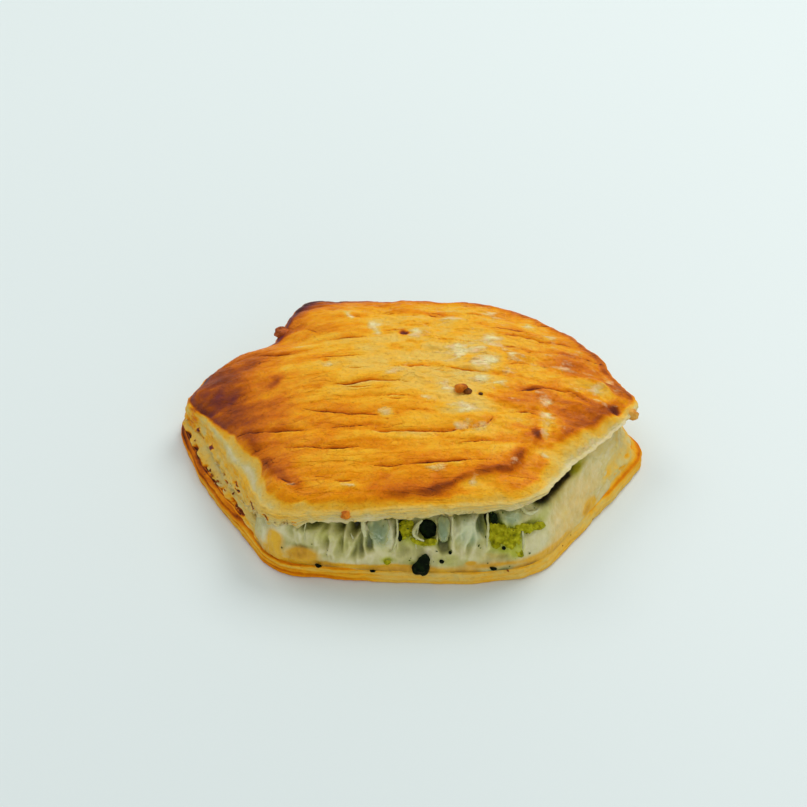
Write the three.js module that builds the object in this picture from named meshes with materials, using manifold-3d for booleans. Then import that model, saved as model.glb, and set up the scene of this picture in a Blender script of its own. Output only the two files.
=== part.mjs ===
// Spinach borek: a six-cornered puff pastry. A domed, scored lid lies on a bottom crust whose soft
// dough rises to meet it on the left, at the back and on the right. Along the front the two have
// parted, and the spinach filling that runs through the middle shows between them.
// Millimetres, +Z up, origin at the middle of the flat underside, front towards -Y.

import * as THREE from 'three';
import { mergeVertices } from 'three/addons/utils/BufferGeometryUtils.js';
import Module from 'manifold-3d';

// ---- Driving sizes ------------------------------------------------------------------------------

const CROWN = 30;            // top of the lid's dome
const CEILING = 21;          // highest point of the lid's underside
const DOME = 2.6;            // how squarely the dome falls to its rim: 2 is round, more is flatter
const GAP = 0.4;             // clearance between neighbouring layers
const SPOKES = 80;           // points round every ring
const CURVE_STEPS = 8;       // points along every rounded corner
const CORNER_SHARE = 0.48;   // most of a side that one rounded corner may take up

const EDGE_HEIGHT = 3.9;     // height of the bottom crust's outer edge
const EDGE_ROUND = 0.9;      // how far that edge is rounded off, above and below
const STEP_RISE = 0.3;       // how much higher the step inside that edge is
const SHOULDER = 1.8;        // width of the flat step inside that edge
const WALL_BULGE = 0.62;     // how full the dough wall stands between that step and the lid
const BED = 4.8;             // height of the bottom crust under the filling
const LEDGE = 0.35;          // height of the filling's edge on the dough wall's inner side
const FILL_SLOPE = 0.08;     // width of the slope inside that edge, as a share of the lid's reach

const RIM_ROUND = 0.5;       // how far the lid's upper rim is rounded off
const FLARE = 0.8;           // how far the middle of the lid's edge stands proud of its rim
const FOLD_HEIGHT = 1.3;     // the baked fold that runs inside the lid's front right rim
const FOLD_PLACE = 0.86;     // its place, as a share of the lid's reach
const FOLD_WIDTH = 0.05;
const FOLD_BEARINGS = [-100, -15];  // where round the lid it starts and ends, in degrees
const FOLD_FADE = 20;        // degrees over which it rises and dies away

const FILL_TOP = 0.97;       // most of the lid's reach that the filling's top takes up
const FILL_ROUND = 0.8;      // how far the filling's front is rounded off, below and above
const FILL_LEAN = 4.5;       // how far the filling's front leans in on its way up
const DRAPE_DEPTH = 0.9;     // depth of the upright folds on the filling's front
const DRAPE_COUNT = 20;      // folds in a full turn

const CUT_DEPTH = 1.5;       // depth of the score cuts in the lid
const CUT_WIDTH = 1.9;       // half the width of a cutter at its top
const CUT_BLUNT = 0.6;       // how blunt its two ends are: 1 is pointed, 0 is square
const CUT_STEPS = 8;         // sections along a cut
const CUT_TOP = 2.5;         // how far a cutter reaches above the crust

// Corners of the two crusts, each with the length over which it is rounded.
const LID_CORNERS = [
  { x: 66, y: -2.5, round: 6 },
  { x: 53.5, y: 26, round: 14 },
  { x: 29, y: 43.5, round: 14 },
  { x: -33.8, y: 46.8, round: 6 },
  { x: -41.5, y: 26.5, round: 4 },
  { x: -57, y: 22, round: 9 },
  { x: -67, y: 9.5, round: 6 },
  { x: -55, y: -7, round: 9 },
  { x: -38.5, y: -44, round: 6 },
  { x: -2, y: -48.4, round: 25 },
  { x: 32.5, y: -44.5, round: 6 },
];
const BASE_CORNERS = [
  { x: 68.7, y: -3.5, round: 6 },
  { x: 56, y: 32, round: 14 },
  { x: 32, y: 48, round: 14 },
  { x: -37, y: 52.5, round: 8 },
  { x: -46.5, y: 30, round: 8 },
  { x: -60, y: 26, round: 10 },
  { x: -68.8, y: 9.5, round: 7 },
  { x: -62, y: -9.5, round: 10 },
  { x: -37.5, y: -48.3, round: 9 },
  { x: 8, y: -52.8, round: 26 },
  { x: 34.5, y: -49.5, round: 9 },
];

// How the pastry changes on its way round. bearing: degrees from +X towards +Y. foot and rim: the
// lower and upper height of the lid's edge. sealed: 1 where the dough wall closes against the lid,
// 0 where the pastry is open. wall: where that wall meets the lid, and fill: where the filling
// ends, both as shares of the lid's reach.
const SIDES = [
  { bearing: -160, foot: 12, rim: 18.7, sealed: 1, wall: 0.98, fill: 0.76 },
  { bearing: -134, foot: 13.8, rim: 20.5, sealed: 1, wall: 0.98, fill: 0.76 },
  { bearing: -114, foot: 17, rim: 22.6, sealed: 0, wall: 1.03, fill: 1.02 },
  { bearing: -90, foot: 20, rim: 24.5, sealed: 0, wall: 1.03, fill: 1.02 },
  { bearing: -54, foot: 20.5, rim: 24.3, sealed: 0, wall: 1.03, fill: 1 },
  { bearing: -38, foot: 19.5, rim: 23, sealed: 0.5, wall: 0.92, fill: 0.76 },
  { bearing: -23, foot: 18, rim: 21.5, sealed: 0.9, wall: 0.88, fill: 0.7 },
  { bearing: -3, foot: 16, rim: 18.7, sealed: 1, wall: 0.94, fill: 0.74 },
  { bearing: 26, foot: 15.5, rim: 22, sealed: 1, wall: 0.97, fill: 0.76 },
  { bearing: 90, foot: 15, rim: 23.3, sealed: 1, wall: 0.97, fill: 0.76 },
  { bearing: 126, foot: 14, rim: 21.8, sealed: 1, wall: 0.97, fill: 0.76 },
  { bearing: 147, foot: 13, rim: 20, sealed: 1, wall: 0.97, fill: 0.76 },
  { bearing: 172, foot: 9.5, rim: 14.5, sealed: 1, wall: 0.97, fill: 0.76 },
];

// Score cuts in the lid: the middle of each, its length, and the degrees it turns from +X.
const CUTS = [
  { x: 38, y: 20, length: 21, turn: -2 },
  { x: -16, y: 19, length: 19, turn: -3 },
  { x: 35, y: 8, length: 16, turn: 2 },
  { x: -37, y: 13.5, length: 13, turn: -4 },
  { x: 8, y: 3, length: 27, turn: -3 },
  { x: -11.5, y: -3, length: 24, turn: 2 },
  { x: 39, y: -4, length: 19, turn: 0 },
  { x: -14, y: -14.8, length: 28, turn: -7 },
  { x: -37, y: -17.5, length: 24, turn: -11 },
  { x: 3, y: -22, length: 27, turn: -2 },
  { x: -23, y: -26.8, length: 24, turn: -4 },
  { x: 20.5, y: -26, length: 15, turn: 2 },
  { x: 5, y: -34.6, length: 32, turn: 0 },
];

// ---- Outlines and heights -----------------------------------------------------------------------

const wasm = await Module();
wasm.setup();

function smooth(t) {
  return THREE.MathUtils.smoothstep(t, 0, 1);
}

// A closed outline with rounded corners, as points close together.
function outline(corners) {
  const path = new THREE.Path();
  corners.forEach((corner, i) => {
    const here = new THREE.Vector2(corner.x, corner.y);
    const before = corners.at(i - 1);
    const after = corners[(i + 1) % corners.length];
    const towards = (other) => {
      const way = new THREE.Vector2(other.x, other.y).sub(here);
      return here.clone().add(way.setLength(Math.min(corner.round, way.length() * CORNER_SHARE)));
    };
    const start = towards(before);
    const end = towards(after);
    if (i === 0) path.moveTo(start.x, start.y);
    else path.lineTo(start.x, start.y);
    path.quadraticCurveTo(here.x, here.y, end.x, end.y);
  });
  path.closePath();
  return path.getPoints(CURVE_STEPS);
}

// How far an outline reaches from the middle at a given angle.
function reach(points, angle) {
  const way = new THREE.Vector2(Math.cos(angle), Math.sin(angle));
  let far = 0;
  points.forEach((from, i) => {
    const side = points[(i + 1) % points.length].clone().sub(from);
    const turn = way.cross(side);
    if (Math.abs(turn) < 1e-9) return;
    const distance = from.cross(side) / turn;
    const share = from.cross(way) / turn;
    if (distance > 0 && share >= 0 && share <= 1) far = Math.max(far, distance);
  });
  return far;
}

// The values of SIDES at any angle, eased from one bearing to the next.
function sideAt(angle) {
  const degrees = THREE.MathUtils.radToDeg(angle);
  const count = SIDES.length;
  for (let i = 0; i < count; i += 1) {
    const from = SIDES[i];
    const to = SIDES[(i + 1) % count];
    const span = THREE.MathUtils.euclideanModulo(to.bearing - from.bearing, 360);
    const past = THREE.MathUtils.euclideanModulo(degrees - from.bearing, 360);
    if (past < span) {
      const t = smooth(past / span);
      const mix = (key) => [key, THREE.MathUtils.lerp(from[key], to[key], t)];
      return Object.fromEntries(['foot', 'rim', 'sealed', 'wall', 'fill'].map(mix));
    }
  }
  return SIDES[0];
}

const lidOutline = outline(LID_CORNERS);
const baseOutline = outline(BASE_CORNERS);

// One spoke for each point of a ring: its direction and everything that depends on it.
const spokes = Array.from({ length: SPOKES }, (_, i) => {
  const angle = (i / SPOKES) * 2 * Math.PI;
  return {
    angle,
    lid: reach(lidOutline, angle),
    base: reach(baseOutline, angle),
    ...sideAt(angle),
  };
});

// Height of the lid's baked surface; share is 0 in the middle and 1 at the rim.
function crustHeight(spoke, share) {
  const dome = spoke.rim + (CROWN - spoke.rim) * (1 - share ** DOME);
  const bearing = THREE.MathUtils.radToDeg(spoke.angle) - 360;
  const rise = smooth((bearing - FOLD_BEARINGS[0]) / FOLD_FADE);
  const fade = smooth((FOLD_BEARINGS[1] - bearing) / FOLD_FADE);
  const across = Math.exp(-(((share - FOLD_PLACE) / FOLD_WIDTH) ** 2));
  return dome + FOLD_HEIGHT * rise * fade * across;
}

// Height of the lid's underside.
function ceilingHeight(spoke, share) {
  return spoke.foot + (CEILING - spoke.foot) * (1 - share ** DOME);
}

// Height of the bottom crust's dough wall, where it meets the lid or leaves the front open.
function wallHeight(spoke, share) {
  return THREE.MathUtils.lerp(BED, ceilingHeight(spoke, share) - GAP, spoke.sealed);
}

// Height of the bottom crust where the filling ends, part of the way down the wall's inner side.
function ledgeHeight(spoke) {
  return THREE.MathUtils.lerp(BED, wallHeight(spoke, spoke.wall), LEDGE);
}

// ---- Closed bodies ------------------------------------------------------------------------------

// A closed body from rings of one point a spoke, listed from the middle of its underside, round
// its edge, to the middle of its top. The first and last rings are single points.
function loft(rings) {
  const positions = [];
  const faces = [];
  const starts = rings.map((ring) => {
    const start = positions.length / 3;
    ring.forEach((point) => positions.push(point.x, point.y, point.z));
    return start;
  });
  for (let r = 0; r + 1 < rings.length; r += 1) {
    for (let i = 0; i < SPOKES; i += 1) {
      const next = (i + 1) % SPOKES;
      const low = rings[r].length === 1 ? [starts[r], starts[r]] : [starts[r] + i, starts[r] + next];
      const high = rings[r + 1].length === 1
        ? [starts[r + 1], starts[r + 1]]
        : [starts[r + 1] + i, starts[r + 1] + next];
      if (low[0] !== low[1]) faces.push(low[0], low[1], high[1]);
      if (high[0] !== high[1]) faces.push(low[0], high[1], high[0]);
    }
  }
  const geometry = new THREE.BufferGeometry();
  geometry.setAttribute('position', new THREE.Float32BufferAttribute(positions, 3));
  geometry.setIndex(faces);
  return geometry;
}

// A ring of points: distance and height are worked out for each spoke.
function ring(distance, height) {
  return spokes.map((spoke) => {
    const r = distance(spoke);
    return new THREE.Vector3(r * Math.cos(spoke.angle), r * Math.sin(spoke.angle), height(spoke));
  });
}

function middle(height) {
  return [new THREE.Vector3(0, 0, height)];
}

// A ring at a share of the lid's reach.
function lidRing(share, height) {
  return ring((spoke) => spoke.lid * share, (spoke) => height(spoke, share));
}

function toSolid(geometry) {
  const merged = mergeVertices(geometry);
  return new wasm.Manifold(new wasm.Mesh({
    numProp: 3,
    vertProperties: merged.attributes.position.array,
    triVerts: new Uint32Array(merged.index.array),
  }));
}

function toGeometry(solid) {
  const mesh = solid.getMesh();
  const geometry = new THREE.BufferGeometry();
  geometry.setAttribute('position', new THREE.BufferAttribute(mesh.vertProperties, 3));
  geometry.setIndex(new THREE.BufferAttribute(mesh.triVerts, 1));
  return geometry;
}

// ---- Bottom crust -------------------------------------------------------------------------------

function bottomPastry() {
  const edge = (inset, height) => ring((spoke) => spoke.base - inset, () => height);
  const wallTop = ring((spoke) => spoke.lid * spoke.wall, (spoke) => wallHeight(spoke, spoke.wall));
  const slope = ring(
    (spoke) => THREE.MathUtils.lerp(spoke.lid * spoke.wall, spoke.base - SHOULDER, WALL_BULGE),
    (spoke) => THREE.MathUtils.lerp(EDGE_HEIGHT, wallHeight(spoke, spoke.wall), WALL_BULGE),
  );
  const wallInside = ring(
    (spoke) => spoke.lid * (spoke.wall + spoke.fill) / 2,
    (spoke) => wallHeight(spoke, spoke.wall),
  );
  return loft([
    middle(0),
    edge(EDGE_ROUND, 0),
    edge(0, EDGE_ROUND),
    edge(0, EDGE_HEIGHT - EDGE_ROUND),
    edge(EDGE_ROUND, EDGE_HEIGHT),
    edge(SHOULDER, EDGE_HEIGHT + STEP_RISE),
    slope,
    wallTop,
    wallInside,
    ring((spoke) => spoke.lid * spoke.fill, ledgeHeight),
    ring((spoke) => spoke.lid * (spoke.fill - FILL_SLOPE), () => BED),
    lidRing(0.3, () => BED),
    middle(BED),
  ]);
}

// ---- Filling ------------------------------------------------------------------------------------

function filling() {
  // A ring of its side: t is 0 at the bottom and 1 at the top, inset is how far it is drawn in.
  const side = (t, inset) => ring(
    (spoke) => {
      const drape = DRAPE_DEPTH * (1 - spoke.sealed) * Math.cos(DRAPE_COUNT * spoke.angle);
      return spoke.lid * spoke.fill + drape - inset;
    },
    (spoke) => THREE.MathUtils.lerp(
      ledgeHeight(spoke) + 2 * GAP,
      ceilingHeight(spoke, Math.min(spoke.fill, FILL_TOP)) - GAP,
      t,
    ),
  );
  const over = (share) => lidRing(share, (spoke) => ceilingHeight(spoke, share) - GAP);
  return loft([
    middle(BED + GAP),
    lidRing(0.3, () => BED + GAP),
    ring((spoke) => spoke.lid * (spoke.fill - FILL_SLOPE), () => BED + GAP),
    side(0, FILL_ROUND),
    side(0.2, 0),
    side(0.6, FILL_ROUND),
    side(1, FILL_LEAN),
    over(0.62),
    over(0.45),
    over(0.25),
    middle(CEILING - GAP),
  ]);
}

// ---- Lid ----------------------------------------------------------------------------------------

// The baked height over any place on the lid.
function crustAt(x, y) {
  const angle = THREE.MathUtils.euclideanModulo(Math.atan2(y, x), 2 * Math.PI);
  const lid = reach(lidOutline, angle);
  return crustHeight({ angle, ...sideAt(angle) }, Math.min(1, Math.hypot(x, y) / lid));
}

// A lens-shaped wedge that follows the dome and narrows to a point at both ends.
function cutter({ x, y, length, turn }) {
  const along = new THREE.Vector2(1, 0).rotateAround(new THREE.Vector2(), THREE.MathUtils.degToRad(turn));
  const across = new THREE.Vector2(-along.y, along.x);
  const point = (distance, aside, lift) => {
    const px = x + along.x * distance + across.x * aside;
    const py = y + along.y * distance + across.y * aside;
    return [px, py, crustAt(px, py) + lift];
  };
  const positions = [...point(-length / 2, 0, CUT_TOP)];
  for (let i = 1; i < CUT_STEPS; i += 1) {
    const t = i / CUT_STEPS;
    const swell = Math.sin(Math.PI * t) ** CUT_BLUNT;
    const distance = (t - 0.5) * length;
    positions.push(...point(distance, -CUT_WIDTH * swell, CUT_TOP));
    positions.push(...point(distance, CUT_WIDTH * swell, CUT_TOP));
    positions.push(...point(distance, 0, -CUT_DEPTH * swell));
  }
  positions.push(...point(length / 2, 0, CUT_TOP));
  const last = positions.length / 3 - 1;
  const faces = [];
  for (let side = 0; side < 3; side += 1) {
    const other = (side + 1) % 3;
    faces.push(0, 1 + side, 1 + other);
    faces.push(last, last - 3 + other, last - 3 + side);
    for (let i = 1; i + 3 < last; i += 3) {
      faces.push(i + side, i + 3 + other, i + other, i + side, i + 3 + side, i + 3 + other);
    }
  }
  const geometry = new THREE.BufferGeometry();
  geometry.setAttribute('position', new THREE.Float32BufferAttribute(positions, 3));
  geometry.setIndex(faces);
  return geometry;
}

function topPastry() {
  const edge = (inset, t) => ring(
    (spoke) => spoke.lid - inset,
    (spoke) => THREE.MathUtils.lerp(spoke.foot, spoke.rim, t),
  );
  const top = (share) => lidRing(share, crustHeight);
  const under = (share) => lidRing(share, ceilingHeight);
  const body = loft([
    middle(CEILING),
    under(0.25),
    under(0.45),
    under(0.62),
    under(0.78),
    under(0.9),
    edge(FLARE, 0),
    edge(0, 0.25),
    edge(0, 0.65),
    edge(RIM_ROUND, 0.92),
    ...[0.96, 0.91, FOLD_PLACE, 0.8, 0.7, 0.6, 0.45, 0.3, 0.15].map(top),
    middle(CROWN),
  ]);
  const cuts = wasm.Manifold.union(CUTS.map((cut) => toSolid(cutter(cut))));
  return toGeometry(toSolid(body).subtract(cuts));
}

// ---- The pastry ---------------------------------------------------------------------------------

const MATERIALS = {
  bakedBottom: new THREE.MeshStandardMaterial({ color: 0xdcb878, roughness: 0.7, metalness: 0 }),
  spinach: new THREE.MeshStandardMaterial({ color: 0x7c7a3c, roughness: 0.45, metalness: 0 }),
  bakedTop: new THREE.MeshStandardMaterial({ color: 0xcf8a2c, roughness: 0.5, metalness: 0 }),
};

function piece(name, geometry, material) {
  const mesh = new THREE.Mesh(geometry, material);
  mesh.name = name;
  return mesh;
}

const borek = new THREE.Group();
borek.name = 'spinach_borek';
borek.add(piece('bottom_pastry', bottomPastry(), MATERIALS.bakedBottom));
borek.add(piece('filling', filling(), MATERIALS.spinach));
borek.add(piece('top_pastry', topPastry(), MATERIALS.bakedTop));

export default borek;
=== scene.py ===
"""Spinach borek: the looks of a filled puff pastry, dressed round its fixed solids.

Sizes are millimetres until a mesh is made. The lid, the bottom crust and the filling are closed skins
of rings and spokes, whose relief is worked out point by point. Each point also carries how brown it is
baked, with painted shade and highlights mixed in, which the crusts' material turns into colour.
"""
import math

import bmesh
import bpy
import numpy as np
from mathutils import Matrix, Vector


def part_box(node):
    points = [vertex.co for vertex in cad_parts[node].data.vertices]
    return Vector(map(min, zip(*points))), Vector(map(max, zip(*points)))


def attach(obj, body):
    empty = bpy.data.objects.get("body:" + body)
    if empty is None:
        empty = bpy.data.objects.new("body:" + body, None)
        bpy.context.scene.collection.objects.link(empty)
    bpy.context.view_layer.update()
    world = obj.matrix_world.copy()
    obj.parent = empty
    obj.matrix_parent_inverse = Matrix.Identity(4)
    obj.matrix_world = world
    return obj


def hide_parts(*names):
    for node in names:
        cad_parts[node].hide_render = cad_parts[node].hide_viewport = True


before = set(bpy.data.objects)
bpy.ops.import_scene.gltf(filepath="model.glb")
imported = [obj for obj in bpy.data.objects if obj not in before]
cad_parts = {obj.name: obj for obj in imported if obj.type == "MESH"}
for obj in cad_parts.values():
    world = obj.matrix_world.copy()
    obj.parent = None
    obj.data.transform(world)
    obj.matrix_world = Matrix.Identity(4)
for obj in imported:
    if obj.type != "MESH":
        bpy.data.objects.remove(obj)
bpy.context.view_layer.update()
MM = 0.001

# ---- Sizes shared with the solids ----------------------------------------------------------------

# Corners of the two crusts: x, y, and the length over which the corner is rounded.
LID_CORNERS = [
    (66, 0.6, 4), (53.5, 26, 14), (29, 43.5, 14), (-33.8, 46.8, 6), (-41.5, 26.5, 4), (-57, 22, 9),
    (-67, 9.5, 6), (-55, -7, 9), (-38.5, -44, 6), (-2, -48.4, 25), (32.5, -44.5, 6),
    (46.4, -25.2, 9), (61.4, -6.4, 4),
]
BASE_CORNERS = [
    (68.7, -3.5, 6), (61.6, 9, 8), (56, 32, 14), (32, 48, 14), (-37, 52.5, 8), (-46.5, 30, 8),
    (-60, 26, 10), (-68.8, 9.5, 7), (-62, -9.5, 10), (-37.5, -48.3, 9), (8, -52.8, 26),
    (34.5, -49.5, 9),
]
# How the pastry changes on its way round, by bearing in degrees from +X towards +Y.
SIDES = {
    "bearing": (-160, -147, -134, -114, -90, -54, -38, -30, -20, -10, -3, 4, 26, 90, 126, 147, 172),
    # Heights of the lid's lower and upper edge, and how far the lower one is tucked in.
    "foot": (7.6, 10.2, 14, 17.4, 20, 20.6, 21.2, 20.4, 19.2, 17.6, 16, 15.9, 15.5, 15, 14, 12.4, 7.4),
    "rim": (
        18.7, 19.4, 20.5, 22.6, 24.5, 24.3, 23.4, 22.6, 21.6, 19.8, 18.7, 19.3, 22, 23.3, 21.8, 20,
        14.5,
    ),
    "tuck": (-1.8, -1.2, 0, 0.9, 0.9, 1.4, 3.6, 3.2, 2.8, 3.2, 4.5, 3, 1.2, 0.9, 0.9, 0.6, -0.8),
    # Widths of the slope at its rim, of the pale dough there, and of the change from that to brown.
    "slope": (3, 4.8, 3, 1.8, 0.7, 0.9, 2.4, 3, 3, 2, 0.6, 0.5, 0.5, 0.5, 0.5, 0.6, 1.4),
    "pale": (2.6, 4.2, 2.6, 1.6, 1.3, 1.8, 2.8, 3.4, 3.4, 2.6, 1.6, 0.3, 0.2, 0.2, 0.2, 0.1, 0.1),
    "fade": (0.9, 0.8, 0.9, 1.4, 1.8, 2.2, 2.8, 3, 3, 2.4, 1.6, 0.8, 0.8, 0.8, 0.8, 0.8, 0.7),
    # From 0 to 1: how unbaked its side is, how singed its rim, how far the dough wall seals the pastry.
    "whitish": (1, 1, 0.5, 0, 0, 0, 0.5, 0.8, 1, 1, 0.9, 0, 0, 0, 0, 0, 0.6),
    "singed": (0.3, 0.3, 0.1, 0, 0, 0, 0, 0, 0, 0, 0.2, 0.7, 0.6, 0.5, 1, 0.9, 0.8),
    "sealed": (1, 1, 0.1, 0, 0, 0, 0, 0.05, 1, 1, 1, 1, 1, 1, 1, 1, 1),
    # Where the top of that wall stands, as a share of the lid's reach.
    "wall": (
        1.0, 1.0, 1.0, 1.03, 1.03, 1.03, 0.96, 0.95, 0.94, 0.92, 0.865, 0.88, 0.97, 0.98, 0.98,
        0.98, 0.99,
    ),
    # From 0 to 1: how torn the wall is, how leafy its foot, where the filling hangs open in front, and
    # where the wall runs on from it. The last is how far the wall then stands out.
    "crumbly": (1, 1, 0.8, 0, 0, 0, 0, 0.1, 0.3, 0.6, 0.6, 0.5, 0.6, 1, 1, 1, 1),
    "leafy": (1, 1, 0.7, 0.4, 0.25, 0.2, 0.12, 0.1, 0.1, 0.2, 0.25, 0.4, 0.8, 0.9, 1, 1, 1),
    "drape": (0, 0, 1, 1, 1, 1, 1, 1, 0.9, 0, 0, 0, 0, 0, 0, 0, 0),
    "meets": (0, 0, 0, 0, 0, 1, 1, 1, 0.7, 0.2, 0, 0, 0, 0, 0, 0, 0),
    "proud": (0, 0, 0, 0, 0, -0.8, -0.6, -0.3, 0.3, 0.4, 0, 0, 0, 0, 0, 0, 0),
}
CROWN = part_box("top_pastry")[1].z / MM      # top of the lid's dome
CEILING = 21                                # highest point of its underside
DOME = 2.6                                  # how squarely it falls to the rim
EDGE_HEIGHT = 3.9                           # height of the bottom crust's outer edge
BED = 4.8                                   # height of the bottom crust under the filling
GAP = 0.4                                   # clearance between the layers

# ---- What is baked into the lid ------------------------------------------------------------------

# Score cuts: the points each passes through, its depth, its half width, and how much a painted
# highlight pales its front lip.
CUTS = [
    ([(-22, -2.7), (-17, -2.8), (-11, -1.6), (-5, -2.3), (0, -3.2)], 1.3, 0.75, 0.15),
    ([(-7, 4.2), (0, 3.9), (6, 3.5)], 0.7, 0.4, 0.1),
    ([(9, 4), (15, 3.3), (22, 2.2)], 0.8, 0.45, 0.1),
    ([(-30, -10.8), (-23, -13.2), (-16, -15.2), (-8.7, -16.1), (-2, -15.6)], 0.8, 0.45, 0.05),
    ([(-48.5, -14), (-44, -14.7), (-39.4, -16.3), (-33.7, -17.8), (-28, -19)], 1.3, 0.65, 0.1),
    ([(-11, -8.6), (-5, -8.8), (1, -9.6)], 0.5, 0.35, 0.05),
    ([(-10, -10), (-4, -10.4), (0, -10.8)], 0.4, 0.3, 0),
    ([(-12, -21.2), (-5, -22), (2, -22.4), (9, -22.1), (14, -21)], 1.4, 0.7, 0.35),
    ([(14, -21), (19.6, -20.2), (21.5, -18), (23.5, -15.4)], 0.9, 0.45, 0.05),
    ([(24.5, -14), (29, -13.1), (35, -13)], 0.7, 0.4, 0.1),
    ([(-35, -24), (-29.5, -25.1), (-23.3, -26.9), (-18, -27.2), (-13, -26.9)], 1.1, 0.55, 0.05),
    ([(-11, -33.3), (-5, -34.5), (2, -33.9), (8.4, -33.4), (15, -32.7), (23, -32.7)], 0.9, 0.5, 0.1),
    ([(12.5, -26.4), (20, -25.4), (27.5, -24.6)], 0.8, 0.45, 0.05),
    ([(-36, -33.5), (-33, -35.8), (-30.6, -38)], 0.7, 0.5, 0.05),
    ([(-20.5, -37.2), (-18, -38.2), (-15.3, -38)], 0.6, 0.45, 0.05),
    ([(-45, 18.2), (-39, 15.2), (-32, 14)], 0.9, 0.5, 0.05),
    ([(-26.5, 19.4), (-18, 18.8), (-10.5, 18.9)], 0.6, 0.4, 0.05),
    ([(-26, 9.7), (-19, 9.3), (-12, 9.6)], 0.4, 0.35, 0),
    ([(26, 20.8), (31, 21.9), (37.5, 21.4), (47.5, 21.2)], 1, 0.5, 0.05),
    ([(3, 16.7), (9.4, 16.8), (20, 15.6)], 0.5, 0.35, 0.05),
    ([(28, 7), (32, 8.3), (39.5, 8.7)], 1, 0.6, 0),
    ([(29, -5.2), (34.4, -3.5), (39.6, -2), (45, -2.1), (50.5, -4.8)], 0.9, 0.55, 0.05),
    ([(47, 6.2), (53, 6.4), (56, 4.2)], 0.8, 0.5, 0.05),
    ([(-6, 31), (2, 31.6), (9, 31)], 0.5, 0.35, 0),
    ([(14, 33.5), (20, 33.2), (27, 33.6)], 0.5, 0.35, 0),
    ([(-32, 28.5), (-27, 24.6), (-22, 23.5)], 0.5, 0.4, 0),
    ([(32, 14.2), (38, 15.2), (45, 14.8)], 0.5, 0.4, 0),
]
FINE_CREASES = 46
NOTCH = (-36, 24)          # behind the left corner, where no fine crease starts


def fine_creases():
    """Finer creases between the cuts, strewn at random and described in the same way."""
    chance = np.random.default_rng(12)
    creases = []
    for _ in range(FINE_CREASES):
        x, y = chance.uniform(-50, 48), chance.uniform(-38, 40)
        length, rise, bend = chance.uniform(3, 12), chance.uniform(-0.8, 0.6), chance.uniform(-0.5, 0.5)
        path = [(x, y), (x + length / 2, y + rise / 2 + bend), (x + length, y + rise)]
        depth, width = chance.uniform(0.15, 0.5), chance.uniform(0.22, 0.36)
        if x > NOTCH[0] or y < NOTCH[1]:
            creases.append((path, depth, width, 0.02))
    return creases


CUTS += fine_creases()

# Browned and pale places on the lid: x, y, how far each reaches along X and Y, how much it adds. The
# broad pale place over the middle, at (8, 6), is partly painted sheen.
PATCHES = [
    (-58, 12, 6, 6, 0.28), (-54, 3, 5, 7, 0.3), (-49, -6, 6, 6, 0.28), (-42, -8, 9, 5, 0.16),
    (-50, 8, 10, 9, 0.1), (-47, 16, 12, 5, 0.12), (-33, 42, 5, 7, 0.32), (-39, 30, 3.5, 5, 0.26),
    (-28, 43, 9, 4, 0.12), (-5, 44, 40, 3, 0.08), (18, 42, 6, 4, 0.1), (46, 30, 9, 6, 0.12),
    (53, 21, 5, 7, 0.16), (59, 9, 4, 8, 0.12), (-42, -24, 3, 10, 0.05), (-36, -36, 4, 5, 0.03),
    (-31, -37.5, 2.4, 1.2, 0.1), (-38, 2, 2.2, 2, 0.2), (-25.5, 0.6, 4, 2, 0.08),
    (0, -43, 14, 3, 0.12), (40, 10, 7, 4, 0.06), (46, -8, 6, 5, 0.07), (30, -20, 8, 5, 0.07),
    (-20, -22, 20, 6, 0.03), (-30, -30, 14, 6, 0.02), (47, -17, 5, 5, 0.1), (10, 27, 5, 6, 0.06),
    (30, 30, 6, 8, 0.05), (8, 6, 22, 16, -0.2), (19, 12, 5, 5, -0.1), (-4, 18, 12, 9, -0.07),
    (3, 20, 2, 3, -0.12), (15, -10, 6, 6, -0.12), (-9, 24, 1.2, 3, -0.2), (-18, 33, 1, 3, -0.14),
    (35, 29.5, 1.3, 1.6, -0.25), (-7.5, -15.9, 1.8, 1.3, -0.24), (15.5, -12.8, 4, 2.8, -0.14),
    (36.5, -12, 1.8, 1.2, -0.2), (53, 2.6, 4, 2.2, -0.04), (38, -17, 1.8, 3.5, -0.16),
    (38, -29, 2, 5, -0.1), (16, -41, 12, 2.5, -0.08), (-25, -36, 8, 2, -0.06),
    (45, -1, 5, 1.6, -0.06), (-30, 22, 8, 6, -0.04), (-14, 8, 7, 5, -0.03), (2, 35, 26, 6, -0.09),
    (44, -6, 14, 8, 0.14), (47, 12, 10, 6, 0.07), (-42, 3, 14, 10, 0.05),
    (34.2, -21.5, 1.7, 3.4, 0.36), (30, -29, 1.8, 3, 0.2), (28.4, -33.4, 2.4, 2.2, 0.12),
    (8, -42, 5, 1.3, 0.1), (26, -35.4, 3, 1.2, 0.08), (12, 20, 16, 6, -0.05),
]
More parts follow.
